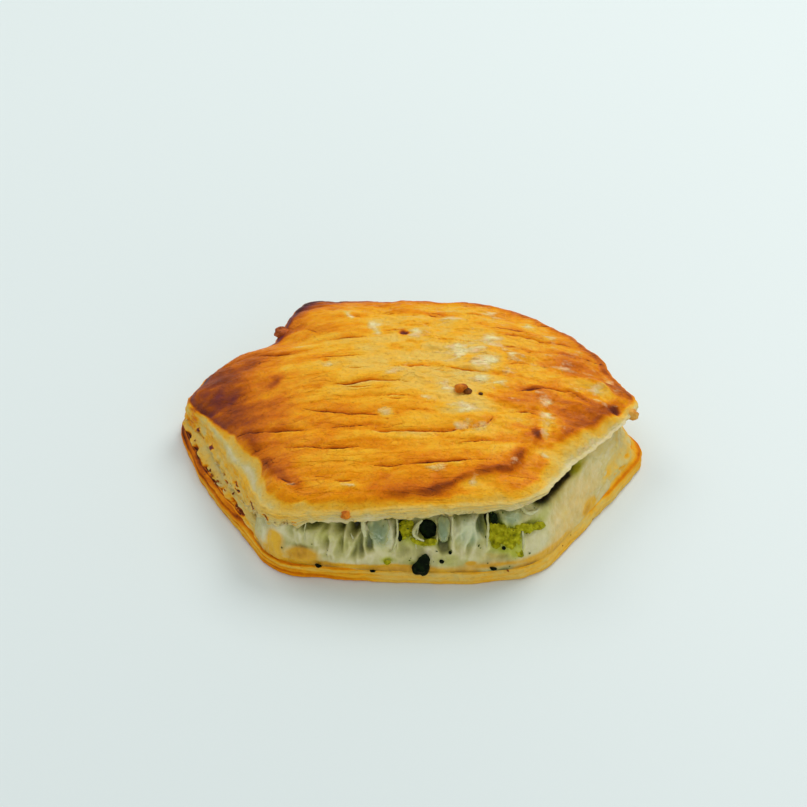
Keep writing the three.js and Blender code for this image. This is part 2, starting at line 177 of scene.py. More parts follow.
# Baked folds in the lid: path, ridge height, half width, how much they are browned, with painted shade
# beside the ridge under its edge, and how far the lid stands higher on the path's right hand than on
# its left.
FOLDS = [
    ([(36, -17.5), (35, -20.2), (32.9, -24.8), (30.4, -28.4), (28.4, -31.8), (26.6, -34.8), (22.9, -36),
      (16.7, -37.4), (11, -40.8), (4.7, -43.2), (-2, -43.4), (-9, -42.2)],
     0.8, 1.1, 0.28, 1.0),
    ([(58, -3.6), (54.6, -8.4), (50.4, -13.2), (45.2, -17.6), (40.2, -21.6)], 0.5, 1.0, 0.28, 0.7),
    ([(-29, -38.2), (-34.5, -34.5), (-37.4, -30.2), (-40.2, -25), (-44, -18), (-48, -12)],
     0.4, 1.6, 0.28, -0.2),
    ([(30, -4.4), (35, -2.6), (40, -1), (45, -1.1), (50, -3.6)], 0.5, 1.1, 0.05, 0.4),
    ([(48, 3.4), (52.5, 4.6), (56, 2.4), (56.4, -1)], 0.8, 1.2, -0.08, 0),
    ([(39.5, -13), (42, -9), (47, -7), (52, -8)], 0.5, 1.2, 0.02, 0),
    ([(37.5, -15), (40, -17.4), (41.5, -21)], 0.6, 1.1, -0.14, 0),
    ([(24, -15), (27, -12.6), (31, -12.6), (34, -15)], 0.5, 1.2, 0.02, 0.2),
    ([(45, 12), (50, 12.6), (55, 10.4)], 0.5, 1.2, 0.06, 0),
]
# Thin pale flakes that stand up from the lid: x, y, how far each reaches along X and Y, and its height.
FLAKES = [
    (19, 12.5, 6, 2, 0.5), (20.8, 6, 2.2, 3, 0.4), (19.6, -0.8, 2.4, 2, 0.4),
    (24.6, -3, 3.4, 1.6, 0.4), (22.5, 17.2, 3.4, 2.6, 0.5), (13.2, 9, 2.8, 2.2, 0.5),
    (13.3, 29.2, 3, 1.4, 0.4), (34.9, 28, 2, 1.8, 0.6), (15.4, -14.2, 4.4, 2.2, 0.4),
    (9.6, -5.6, 2, 4, 0.3), (35.3, -4.8, 1.2, 0.9, 0.5), (36.8, -13.3, 2.4, 1.3, 0.6),
    (48.6, 18, 2, 1.4, 0.5), (46.5, -1.2, 2.6, 1.2, 0.4), (52.7, 1.4, 4, 1.3, 0.5),
    (53.8, -3, 3.2, 1.1, 0.5), (38.8, -8.8, 1.5, 2.2, 0.3), (1.6, 19.3, 2.2, 2.2, 0.5),
    (-9.4, 24, 1.8, 3.6, 0.5), (-17.8, 31, 1.4, 2.4, 0.4), (-7.4, -15.2, 2.6, 1.8, 0.4),
    (-23.8, 6.2, 2.4, 1.8, 0.3), (-4.3, 1.4, 2.6, 2, 0.4), (14.6, -20, 1.6, 1, 0.4),
    (19, -20.4, 2.4, 1, 0.4), (8, -36, 4, 1.4, 0.3), (17, -38.8, 2.4, 1.4, 0.4),
    (37.4, -28, 1.8, 2.6, 0.5), (37, -19, 1.6, 3, 0.5), (-17.4, -39.2, 2.2, 0.9, 0.4),
    (-32, -37, 1.8, 1, 0.3), (28.6, -32.2, 1, 0.8, 0.5), (44, 8, 2.4, 1.2, 0.4),
    (31, 10.6, 2, 1.2, 0.3), (5, -10, 2, 1, 0.3), (41, 24, 2.4, 1.2, 0.3), (24, 35, 2.6, 1.2, 0.3),
    (-31, 18, 2.6, 1.2, 0.2), (57, 8, 1.2, 2.4, 0.3),
]
# Little pits and knots in the lid: x, y, radius, lift and how much they are browned.
KNOTS = [
    (-1.8, 20, 1.1, -1.2, 1.4), (57.2, -4.6, 1.4, -0.9, 1), (19, -7.7, 0.7, -0.4, 0.3),
    (-24.3, 8, 0.9, -0.5, 0.14), (-37.8, 1.8, 1.2, -0.3, 0.14), (8, 22, 1.4, -0.3, 0.12),
    (-53, 9.5, 1, -0.4, 0.12), (22.5, 26.5, 1.3, -0.2, 0.08), (-27, -16.3, 0.6, -0.3, 0.1),
]

# ---- Outlines and heights ------------------------------------------------------------------------


def smooth(t):
    """From 0 to 1 as t goes from 0 to 1, eased at both ends."""
    t = np.clip(t, 0, 1)
    return t * t * (3 - 2 * t)


def mix(a, b, t):
    return a + (b - a) * t


def rounded(corners, steps=12, most=0.48):
    """A closed outline with rounded corners, as points close together.

    Each corner is made of so many steps, and takes up at most that share of its sides.
    """
    points = []
    for i, (x, y, size) in enumerate(corners):
        here = np.array((x, y), float)
        ends = []
        for other in (corners[i - 1], corners[(i + 1) % len(corners)]):
            way = np.array(other[:2]) - here
            length = np.linalg.norm(way)
            ends.append(here + way / length * min(size, length * most))
        for t in np.linspace(0, 1, steps):
            points.append((1 - t) ** 2 * ends[0] + 2 * t * (1 - t) * here + t * t * ends[1])
    return np.array(points)


def dense(points, spacing=0.4):
    """The same closed outline with its straight stretches filled in."""
    filled = []
    for a, b in zip(points, np.roll(points, -1, 0)):
        count = max(1, int(np.linalg.norm(b - a) / spacing))
        filled.extend(a + (b - a) * i / count for i in range(count))
    return np.array(filled)


def fitted(corners, node):
    """The outline of a crust, fitted to the box of its solid."""
    points = dense(rounded(corners))
    low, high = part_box(node)
    low = np.array(low[:2]) / MM
    high = np.array(high[:2]) / MM
    return low + (points - points.min(0)) / np.ptp(points, axis=0) * (high - low)


LID = fitted(LID_CORNERS, "top_pastry")
BASE = fitted(BASE_CORNERS, "bottom_pastry")


def reach(points, angle):
    """How far an outline reaches from the middle at each angle."""
    bearing = np.arctan2(points[:, 1], points[:, 0])
    return np.interp(angle, bearing, np.hypot(points[:, 0], points[:, 1]), period=2 * np.pi)


def past_bearing(angle, bearing):
    """How many degrees an angle lies past a bearing, from -180 to 180."""
    return (np.degrees(angle) - bearing + 180) % 360 - 180


def even_angles(points, count, crowd=None):
    """Angles of points along an outline, evenly spaced, or closer together where crowd is higher."""
    closed = np.vstack([points, points[:1]])
    steps = np.linalg.norm(np.diff(closed, axis=0), axis=1)
    if crowd is not None:
        steps = steps * crowd(np.arctan2(points[:, 1], points[:, 0]))
    along = np.append(0, np.cumsum(steps))
    places = np.arange(count) / count * along[-1]
    x = np.interp(places, along, closed[:, 0])
    y = np.interp(places, along, closed[:, 1])
    return np.arctan2(y, x)


def side(key, angle):
    """One of the values of SIDES at each angle, eased from one bearing to the next."""
    bearings = np.array(SIDES["bearing"], float)
    values = np.append(SIDES[key], SIDES[key][0])
    past = np.append((bearings - bearings[0]) % 360, 360)
    degrees = (np.degrees(angle) - bearings[0]) % 360
    i = np.clip(np.searchsorted(past, degrees, side="right") - 1, 0, len(bearings) - 1)
    return mix(values[i], values[i + 1], smooth((degrees - past[i]) / (past[i + 1] - past[i])))


def ceiling_height(angle, share):
    """How high the lid's underside lies at each angle and share of its reach."""
    return mix(side("foot", angle), CEILING, 1 - np.clip(share, 0, 1) ** DOME)


def wall_height(angle):
    """Where the bottom crust's wall meets the lid."""
    wall = side("wall", angle)
    return mix(BED, ceiling_height(angle, wall) - GAP, side("sealed", angle))


# ---- Roughness in the forms ----------------------------------------------------------------------


def scatter_value(cell, seed):
    """A fixed random number from 0 to 1 for each cell of a lattice."""
    c = cell * np.array([73856093, 19349663, 83492791])
    h = (c[..., 0] ^ c[..., 1] ^ c[..., 2] ^ (seed * 2654435761)) & 0xFFFFFFFF
    h = ((h ^ (h >> 15)) * 2246822519) & 0xFFFFFFFF
    h = ((h ^ (h >> 13)) * 3266489917) & 0xFFFFFFFF
    return ((h ^ (h >> 16)) & 0xFFFFFF) / 0xFFFFFF


def noise(points, size, seed):
    """Smooth noise from -1 to 1; size is the width of one bump, alone or for each axis."""
    p = np.asarray(points, float) / np.asarray(size, float)
    cell = np.floor(p).astype(np.int64)
    f = smooth(p - cell)
    total = np.zeros(p.shape[:-1])
    for corner in range(8):
        step = np.array([corner & 1, corner >> 1 & 1, corner >> 2 & 1])
        weight = np.prod(np.where(step == 1, f, 1 - f), axis=-1)
        total += (scatter_value(cell + step, seed) * 2 - 1) * weight
    return total


def rough(points, size, seed, octaves=3):
    """Several sizes of noise on top of each other, each half as wide and half as strong."""
    size = np.asarray(size, float)
    total = sum(noise(points, size / 2 ** i, seed + i) / 2 ** i for i in range(octaves))
    return total / (2 - 2.0 ** (1 - octaves))


def bubbles(u, v, seed):
    """Cells of uneven size in a plane: the distance to each cell's border, and its own number."""
    here = np.stack([np.floor(u), np.floor(v), 0 * u], axis=-1).astype(np.int64)
    nearest = np.full(u.shape, 9.0)
    second = np.full(u.shape, 9.0)
    own = np.zeros(u.shape)
    for du in (-1, 0, 1):
        for dv in (-1, 0, 1):
            cell = here + np.array([du, dv, 0])
            cu = cell[..., 0] + 0.1 + 0.8 * scatter_value(cell, seed)
            cv = cell[..., 1] + 0.1 + 0.8 * scatter_value(cell, seed + 1)
            distance = np.hypot(u - cu, v - cv)
            closer = distance < nearest
            second = np.where(closer, nearest, np.minimum(second, distance))
            own = np.where(closer, scatter_value(cell, seed + 2), own)
            nearest = np.minimum(nearest, distance)
    return second - nearest, own


def terraces(value, count, edge):
    """value, from 0 to 1, turned into flat steps; edge is the sloping share of each step."""
    scaled = value * count
    whole = np.floor(scaled)
    return (whole + smooth((scaled - whole - 1 + edge) / edge)) / count


def bump(distance, width):
    """1 in the middle, and falling softly to nothing beyond the width."""
    return np.exp(-((distance / width) ** 2))


def spots(x, y, places):
    """The sum of soft spots: each has its place, its reach along both axes, and its strength."""
    total = np.zeros(x.shape)
    for px, py, wide, deep, amount in places:
        total += amount * bump(x - px, wide) * bump(y - py, deep)
    return total


def beside(x, y, path):
    """For each place: its share along a path, and its distance to the left of it."""
    path = np.array(path, float)
    lengths = np.linalg.norm(np.diff(path, axis=0), axis=1)
    best = np.full(x.shape, 1e9)
    share = np.zeros(x.shape)
    across = np.zeros(x.shape)
    done = 0.0
    for a, b, length in zip(path[:-1], path[1:], lengths):
        way = (b - a) / length
        along = (x - a[0]) * way[0] + (y - a[1]) * way[1]
        aside = (y - a[1]) * way[0] - (x - a[0]) * way[1]
        held = np.clip(along, 0, length)
        distance = np.hypot(aside, along - held)
        nearer = distance < best
        best = np.where(nearer, distance, best)
        share = np.where(nearer, (done + held) / lengths.sum(), share)
        across = np.where(nearer, np.where(aside < 0, -distance, distance), across)
        done += length
    return share, across


# ---- Meshes --------------------------------------------------------------------------------------


def finished(piece, replaces=None):
    """Makes a piece ride on the pastry, and hides the solid that it replaces."""
    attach(piece, "root")
    if replaces:
        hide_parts(replaces)
    return piece


def new_object(name, mesh, material):
    mesh.materials.append(material)
    piece = bpy.data.objects.new(name, mesh)
    bpy.context.scene.collection.objects.link(piece)
    return piece


def mesh_of(name, points, faces, values=None):
    """A smooth mesh from points in millimetres, with named values for each point."""
    mesh = bpy.data.meshes.new(name)
    mesh.from_pydata((np.asarray(points, float) * MM).tolist(), [], faces)
    mesh.polygons.foreach_set("use_smooth", [True] * len(mesh.polygons))
    for key, value in (values or {}).items():
        layer = mesh.attributes.new(key, "FLOAT", "POINT")
        layer.data.foreach_set("value", np.asarray(value, np.float32).ravel())
    return mesh


def skin(name, rings, low, high, values):
    """A closed skin from rings of points, from the middle of its underside to the middle of its top.

    rings has the shape (rings, spokes, 3); low and high are the two middle points; values has one
    (rings, spokes) array for each name.
    """
    count, spokes = rings.shape[:2]
    points = np.vstack([rings.reshape(-1, 3), low, high])
    index = np.arange(count * spokes).reshape(count, spokes)
    turned = np.roll(index, -1, axis=1)
    quads = np.stack([index[:-1], turned[:-1], turned[1:], index[1:]], axis=-1).reshape(-1, 4)
    bottom, top = count * spokes, count * spokes + 1
    faces = quads.tolist()
    faces += [[bottom, turned[0, i], index[0, i]] for i in range(spokes)]
    faces += [[top, index[-1, i], turned[-1, i]] for i in range(spokes)]
    flat = {key: np.concatenate([v.ravel(), [v[0].mean(), v[-1].mean()]]) for key, v in values.items()}
    return mesh_of(name, points, faces, flat)


def at(angle, distance, height):
    """The points at these angles, this far from the middle and this high."""
    return np.stack([distance * np.cos(angle), distance * np.sin(angle), height + 0 * angle], axis=-1)


# ---- Lid -----------------------------------------------------------------------------------------

LEFT_CORNER = 178          # bearing of its left corner
LID_SPOKES = 600
LID_TOP_RINGS = 118
LID_EDGE_RINGS = 34
RIM_ROUND = 1.5            # how far the lid's top edge curves in
LAYERS = 5                 # leaves of dough that show in its edge
NO_CUT = 9.0               # the value of cut wherever no score cut is near


def stretched(path, extra):
    """A path made longer by extra at both ends."""
    path = np.array(path, float)
    first = path[0] - path[1]
    last = path[-1] - path[-2]
    before = path[0] + first / np.hypot(*first) * extra
    after = path[-1] + last / np.hypot(*last) * extra
    return np.vstack([before, path, after])


def cut_marks(x, y, flat, jitter):
    """What the score cuts do at each place: lift, browning with painted shade and highlights, and the
    distance to the nearest one.

    The distance is to the middle of the cut, in half widths of that cut.
    """
    lift, bake_and_painted_light = np.zeros(x.shape), np.zeros(x.shape)
    nearest = np.full(x.shape, NO_CUT)
    for path, depth, width, pale in CUTS:
        # The dough sinks softly along the cut and some way beyond it, with painted shade on its back
        # side and a painted highlight on its front.
        along, across = beside(x, y, stretched(path, 8))
        across = across + 2 * jitter
        crease = np.sin(np.pi * np.clip(along, 0, 1)) * min(1, 1.4 * depth)
        lift -= 0.35 * crease * bump(across, 1.3)
        lift += 0.15 * crease * (bump(across - 3, 1.8) + bump(across + 3, 1.8))
        bake_and_painted_light += 0.07 * crease * np.where(across > 0, bump(across, 2.6), bump(across, 0.8))
        bake_and_painted_light -= 0.03 * crease * bump(across + 2, 1.2)
        # The cut itself is painted dark, as browning and shade, and has a lip on both sides, of which
        # the front one is made paler by a painted highlight.
        along, across = beside(x, y, path)
        across = across + jitter
        taper = np.sin(np.pi * np.clip(along, 0.02, 0.98)) ** 0.5
        taper *= 0.7 + 0.4 * noise(flat, (4, 9, 9), 42)
        wide = 1.15 * width * taper
        lift -= 0.6 * depth * taper * bump(across, wide)
        lift += 0.45 * depth * taper * bump(across + 2 * wide, 1.3 * wide)
        lift += 0.25 * depth * taper * bump(across - 2.4 * wide, 1.6 * wide)
        bake_and_painted_light += 0.32 * min(1, 1.5 * depth) * taper * bump(across - 0.1 * wide, 0.8 * wide)
        bake_and_painted_light -= (0.07 + pale) * taper * bump(across + 1.9 * wide, 0.9 * wide)
        nearest = np.minimum(nearest, np.abs(across) / (width * np.maximum(taper, 0.05)))
    return lift, bake_and_painted_light, nearest


def fold_marks(x, y, flat, jitter):
    """What the baked folds do at each place: lift, and browning with painted shade beside the ridge."""
    lift, bake_and_painted_light = np.zeros(x.shape), np.zeros(x.shape)
    for path, height, width, brown, step in FOLDS:
        along, across = beside(x, y, path)
        across = across + 2 * jitter
        taper = np.sin(np.pi * np.clip(along, 0.02, 0.98)) ** 0.4
        lift += height * taper * bump(across, width)
        lift += step * taper * smooth(0.5 - across / 1.6) * bump(np.minimum(across, 0), 7)
        taper *= 0.9 + 0.5 * noise(flat, (4, 4, 9), 43)
        outer = np.maximum(across, 0) / (0.55 * width)
        inner = np.minimum(across, 0) / (2.6 * width)
        beside_ridge = 0.6 * np.exp(-outer ** 2 - inner ** 2)
        bake_and_painted_light += brown * taper * (beside_ridge + 0.4 * bump(across + 0.2, 0.8 * width))
    return lift, bake_and_painted_light


def evened(bake_and_painted_light):
    """Browning whose palest and darkest ends are drawn in, so that neither goes flat."""
    palest, darkest = 0.36, 0.6
    pale_room, dark_room = 0.1, 0.36
    under = np.maximum(palest - bake_and_painted_light, 0)
    over = np.maximum(bake_and_painted_light - darkest, 0)
    bake_and_painted_light = np.where(bake_and_painted_light < palest, palest - pale_room * (1 - np.exp(-under / pale_room)), bake_and_painted_light)
    return np.where(bake_and_painted_light > darkest, darkest + dark_room * (1 - np.exp(-over / dark_room)), bake_and_painted_light)


def lid_relief(x, y, share):
    """The baked top at each place: its lift, how brown it is with painted shade, highlights and sheen,
    the nearest cut, and how flaky it is.

    All the noise is read on a flat sheet, so the third of its sizes plays no part.
    """
    flat = np.stack([x, y, 0 * x], axis=-1)
    # How loose the leaves of dough lie: most on the right, least inside the front right fold.
    loose = smooth(0.5 + (x - 2 + 0.5 * (y + 8)) / 30) * (1 - 0.6 * bump(np.hypot(x - 22, y + 28), 14))
    torn = rough(flat, (9, 4.4, 9), 15, 4)
    leaves = terraces(torn * 0.5 + 0.5, 8, 0.3) - 0.5
    lift = 0.6 * rough(flat, (17, 11, 9), 1, 2) + (0.6 + 1.5 * loose) * leaves
    lift += (0.12 + 0.3 * loose) * rough(flat, (3.4, 2, 9), 4, 3)
    bake_and_painted_light = 0.45 + 0.1 * rough(flat, (17, 7, 9), 20, 3) + 0.05 * rough(flat, (6, 2.4, 9), 25, 3)
    bake_and_painted_light += 0.03 * rough(flat, 1.6, 30, 2) + (0.05 + 0.3 * loose) * leaves
    bake_and_painted_light += 0.1 * smooth((share - 0.6) / 0.36)
    # The places of patches and flakes are bent a little, so that none has an even outline.
    wx = x + 3 * rough(flat, (6, 3, 9), 160, 3)
    wy = y + 1.6 * rough(flat, (6, 3, 9), 165, 3)
    bake_and_painted_light += spots(wx, wy, PATCHES) * (1 + 0.6 * rough(flat, (5, 2.6, 9), 37, 2))
    for seed in (151, 153):
        wrinkle = bump(noise(flat, (15, 3.4, 9), seed) + 0.15 * noise(flat, 2, seed + 1), 0.16)
        lift -= 0.2 * wrinkle
        bake_and_painted_light += 0.035 * wrinkle
    flake = spots(wx, wy, [(*place[:4], 1) for place in FLAKES])
    lift += 0.5 * spots(wx, wy, FLAKES)
    bake_and_painted_light -= 0.1 * np.minimum(flake, 1)
    # Small flakes lie where the leaves are loose, but hardly on the browned patch at the right.
    flake = 0.85 * flake + loose * (0.24 + 0.6 * rough(flat, (4.6, 1.5, 9), 34, 3))
    flake -= 0.4 * bump(np.hypot(x - 48, y + 9), 8)
    jitter = 0.13 * noise(flat, (3.4, 9, 9), 40) + 0.1 * noise(flat, 0.9, 41)
    cut_lift, cut_bake, cut = cut_marks(x, y, flat, jitter)
    fold_lift, fold_bake = fold_marks(x, y, flat, jitter)
    lift += cut_lift + fold_lift
    bake_and_painted_light += cut_bake + fold_bake
    for px, py, radius, height, brown in KNOTS:
        knot = bump(np.hypot(x - px, y - py) + 0.5 * jitter, radius)
        lift += height * knot
        bake_and_painted_light += brown * knot
    return lift, evened(bake_and_painted_light), cut, flake


def lid_mesh():
    angle = even_angles(LID, LID_SPOKES)
    edge = at(angle, reach(LID, angle), 0)
    # Its outline is a little uneven, and stepped where the rim is singed.
    uneven = 0.55 * rough(edge, 9, 45, 2) + 0.3 * rough(edge, 2.6, 47, 2)
    uneven += 1.2 * side("singed", angle) * (terraces(0.5 + 0.5 * noise(edge, 4, 52), 4, 0.2) - 0.5)
    far = reach(LID, angle) + uneven
    foot = side("foot", angle)
    rim = side("rim", angle) + 0.5 * rough(edge, 11, 49, 3)
    ragged = 1.2 * rough(edge, 3, 50, 3) + 0.7 * noise(edge, 1.3, 54) - 0.3
    ragged = ragged * (1 + 1.5 * smooth(2 * np.cos(angle)) * side("whitish", angle))
    # From the rim it slopes down by drop to the top of its edge; pale dough shows on both.
    slope = side("slope", angle)
    drop = 0.75 * slope
    pale = side("pale", angle) * (1 + 0.25 * rough(edge, 7, 70, 3)) + 0.4 * rough(edge, 3, 73, 3)
    brim = 0.4 - 0.07 * side("pale", angle)
    whitish = side("whitish", angle)
    leftmost = smooth(-2 * np.cos(angle))
    singed = side("singed", angle)
    height_of_edge = np.maximum(rim - drop - foot, 1)
    length = 1.2 * pale + height_of_edge

    def flank(place, down):
        """The shade of the lid's side at places this far down from where the browning ends."""
        share = down / length
        left = 0.32 - 0.27 * bump(share - 0.26, 0.15) + 0.05 * bump(share - 0.56, 0.12)
        left = left - 0.12 * smooth(3 * share - 2)
        right = mix(0.3, 0.04, smooth(1.2 * share))
        plain = 0.1 + brim * (1 - smooth(down / (1.2 * pale + 0.7 * height_of_edge)))
        plain = plain + 0.3 * singed * (1 - smooth(down / 3.5))
        shade = mix(plain, mix(right, left, leftmost), whitish)
        # Painted shade: dark pits low on the left side, in colour only.
        pitted = smooth((rough(place, (2.4, 2.4, 1.2), 171, 2) - 0.34) / 0.12)
        painted_pit_shade = leftmost * bump(share - 0.88, 0.14) * pitted
        at_corner = bump(past_bearing(angle, LEFT_CORNER), 9)
        toasted = at_corner * (0.14 + 0.4 * rough(place, (3, 3, 1.6), 173, 2))
        shade = shade + 0.8 * painted_pit_shade + toasted
        return shade + 0.08 * rough(place, (4, 4, 2), 66, 3) + 0.05 * noise(place, (1.3, 1.3, 0.8), 69)

    def rosy(down):
        """How flaky and rosy the side is, which only its right part is."""
        return 0.75 * whitish * (1 - leftmost) * bump(down / length - 0.45, 0.25)

    rings, bake_and_painted_light_rows, cuts, flakes = [], [], [], []

    # Its underside, from the middle out.
    for share in (0.25, 0.5, 0.7, 0.82, 0.9, 0.955):
        rings.append(at(angle, far * share, ceiling_height(angle, share)))
        bake_and_painted_light_rows.append(np.full(angle.shape, 0.06))
        cuts.append(np.full(angle.shape, NO_CUT))
        flakes.append(np.zeros(angle.shape))

    # Its edge, from the ragged foot up to the rim.
    for t in np.linspace(0, 1, LID_EDGE_RINGS, endpoint=False):
        height = mix(foot + ragged * (1 - t) ** 2, rim - drop, t)
        tuck = side("tuck", angle)
        inset = tuck * smooth(1 - t / mix(0.3, 0.8, smooth(np.abs(tuck) / 2 - 0.3)))
        inset = inset + RIM_ROUND * (1 - np.sqrt(1 - np.clip((t - 0.45) / 0.55, 0, 1) ** 2))
        place = at(angle, far, height)
        wander = 0.6 * noise(place, (7, 7, 1e3), 60)
        leaf = np.cos(2 * np.pi * (t * LAYERS + wander)) * smooth(t / 0.1) * smooth((1 - t) / 0.2)
        leaf *= 0.5 + 0.5 * noise(place, (6, 6, 2), 58)
        crumbly = 0.5 * rough(place, (4, 4, 1.6), 61, 3) + 0.55 * rough(place, 1.5, 64, 3)
        out = 0.25 * leaf + crumbly * smooth((1 - t) / 0.25)
        rings.append(at(angle, far - inset + out, height))
        down = 1.2 * pale + (1 - t) * height_of_edge
        bake_and_painted_light_rows.append(flank(place, down) + 0.05 * leaf)
        cuts.append(np.full(angle.shape, NO_CUT))
        flakes.append(0.3 * (1 - t) + rosy(down))

    # Its top, from the rim to the middle.
    for share in 1 - (np.arange(LID_TOP_RINGS) + 0.3) / LID_TOP_RINGS:
        eased = share ** 0.85
        distance = (far - RIM_ROUND) * eased
        x, y = distance * np.cos(angle), distance * np.sin(angle)
        lift, bake_and_painted_light, cut, flake = lid_relief(x, y, eased)
        inward = far - distance - RIM_ROUND
        held = smooth(inward / 2 + 0.15)
        fall = drop * (1 - np.clip(inward / (1.7 * slope), 0, 1)) ** 1.7
        height = mix(rim, CROWN, 1 - eased ** DOME) - fall
        rings.append(np.stack([x, y, height + lift * held], -1))
        depth = inward + RIM_ROUND - 0.4
        blend = smooth((depth - pale) / side("fade", angle))
        down = 1.2 * np.maximum(pale - depth, 0)
        below = flank(at(angle, distance, height), down) + 0.3 * np.clip(bake_and_painted_light - 0.55, 0, 1)
        bake_and_painted_light = bake_and_painted_light + 0.28 * singed * bump(inward - 0.3, 1.3)
        bake_and_painted_light_rows.append(mix(below, bake_and_painted_light, blend))
        cuts.append(mix(NO_CUT, cut, blend))
        flakes.append(mix(rosy(down), flake, blend))

    values = {
        "bake_and_painted_light": np.array(bake_and_painted_light_rows),
        "cut": np.clip(cuts, 0, NO_CUT),
        "flake": np.clip(flakes, 0, 1.2),
    }
    return skin("golden_lid", np.array(rings), (0, 0, CEILING), (0, 0, CROWN), values)


# ---- Bottom crust --------------------------------------------------------------------------------

BASE_SPOKES = 640
BASE_EDGE_RINGS = 30
BASE_WALL_RINGS = 50
BASE_LEAVES = 3            # leaves of dough in its edge
# Browned and pale places of the edge and wall: bearing, height, reach of both, and how much it adds.
BASE_PATCHES = [
    (174, 3, 9, 2, 0.22), (-168, 3.6, 8, 0.8, 0.26), (-155, 3.2, 9, 0.6, 0.18),
    (-140, 3, 12, 2, 0.04), (-150, 5.6, 9, 0.5, 0.22), (-132, 4.6, 10, 0.5, 0.15),
    (-3, 3.4, 6, 2.6, 0.14), (-28.5, 4.4, 2.2, 1.4, 0.26), (-36, 3.4, 5, 2, -0.08),
    (-42, 1.5, 6, 2, 0.08), (-17, 8.6, 1.8, 1.3, 0.2), (-11, 4, 6, 0.9, 0.26),
    (-23, 5, 2.4, 2, -0.06), (-19, 3.8, 3, 0.6, 0.14), (-90, 2.2, 34, 1.4, -0.03),
    (-112, 1.2, 12, 1.4, 0.16), (-124, 1.2, 10, 2, 0.14), (100, 2.5, 30, 2, 0.12),
    (40, 2.5, 20, 2, 0.1), (150, 2, 12, 2, 0.2),
]


def base_bake_and_painted_light(spot, angle, bake_and_painted_light):
    """The shade of the base at places with these angles, with its patches and its unevenness."""
    for bearing, height, wide, high, amount in BASE_PATCHES:
        here = bump(past_bearing(angle, bearing), wide) * bump(spot[..., 2] - height, high)
        bake_and_painted_light = bake_and_painted_light + amount * here
    return bake_and_painted_light + 0.1 * rough(spot, (7, 7, 1.6), 88, 3) + 0.05 * rough(spot, 1.5, 91, 2)


def bellied(t):
    """How the filling draws in on its way up: slowly at first, from 0 at its foot to 1 at its head."""
    return 0.4 * t + 0.6 * t ** 1.6


def front_far(angle, height):
    """How far the filling's front reaches at each angle and height, before its relief."""
    t = np.clip((height - FRONT_FOOT) / FRONT_TALL, 0, 1.3)
    return mix(reach(BASE, angle) - 1, reach(LID, angle) - 4, bellied(t))


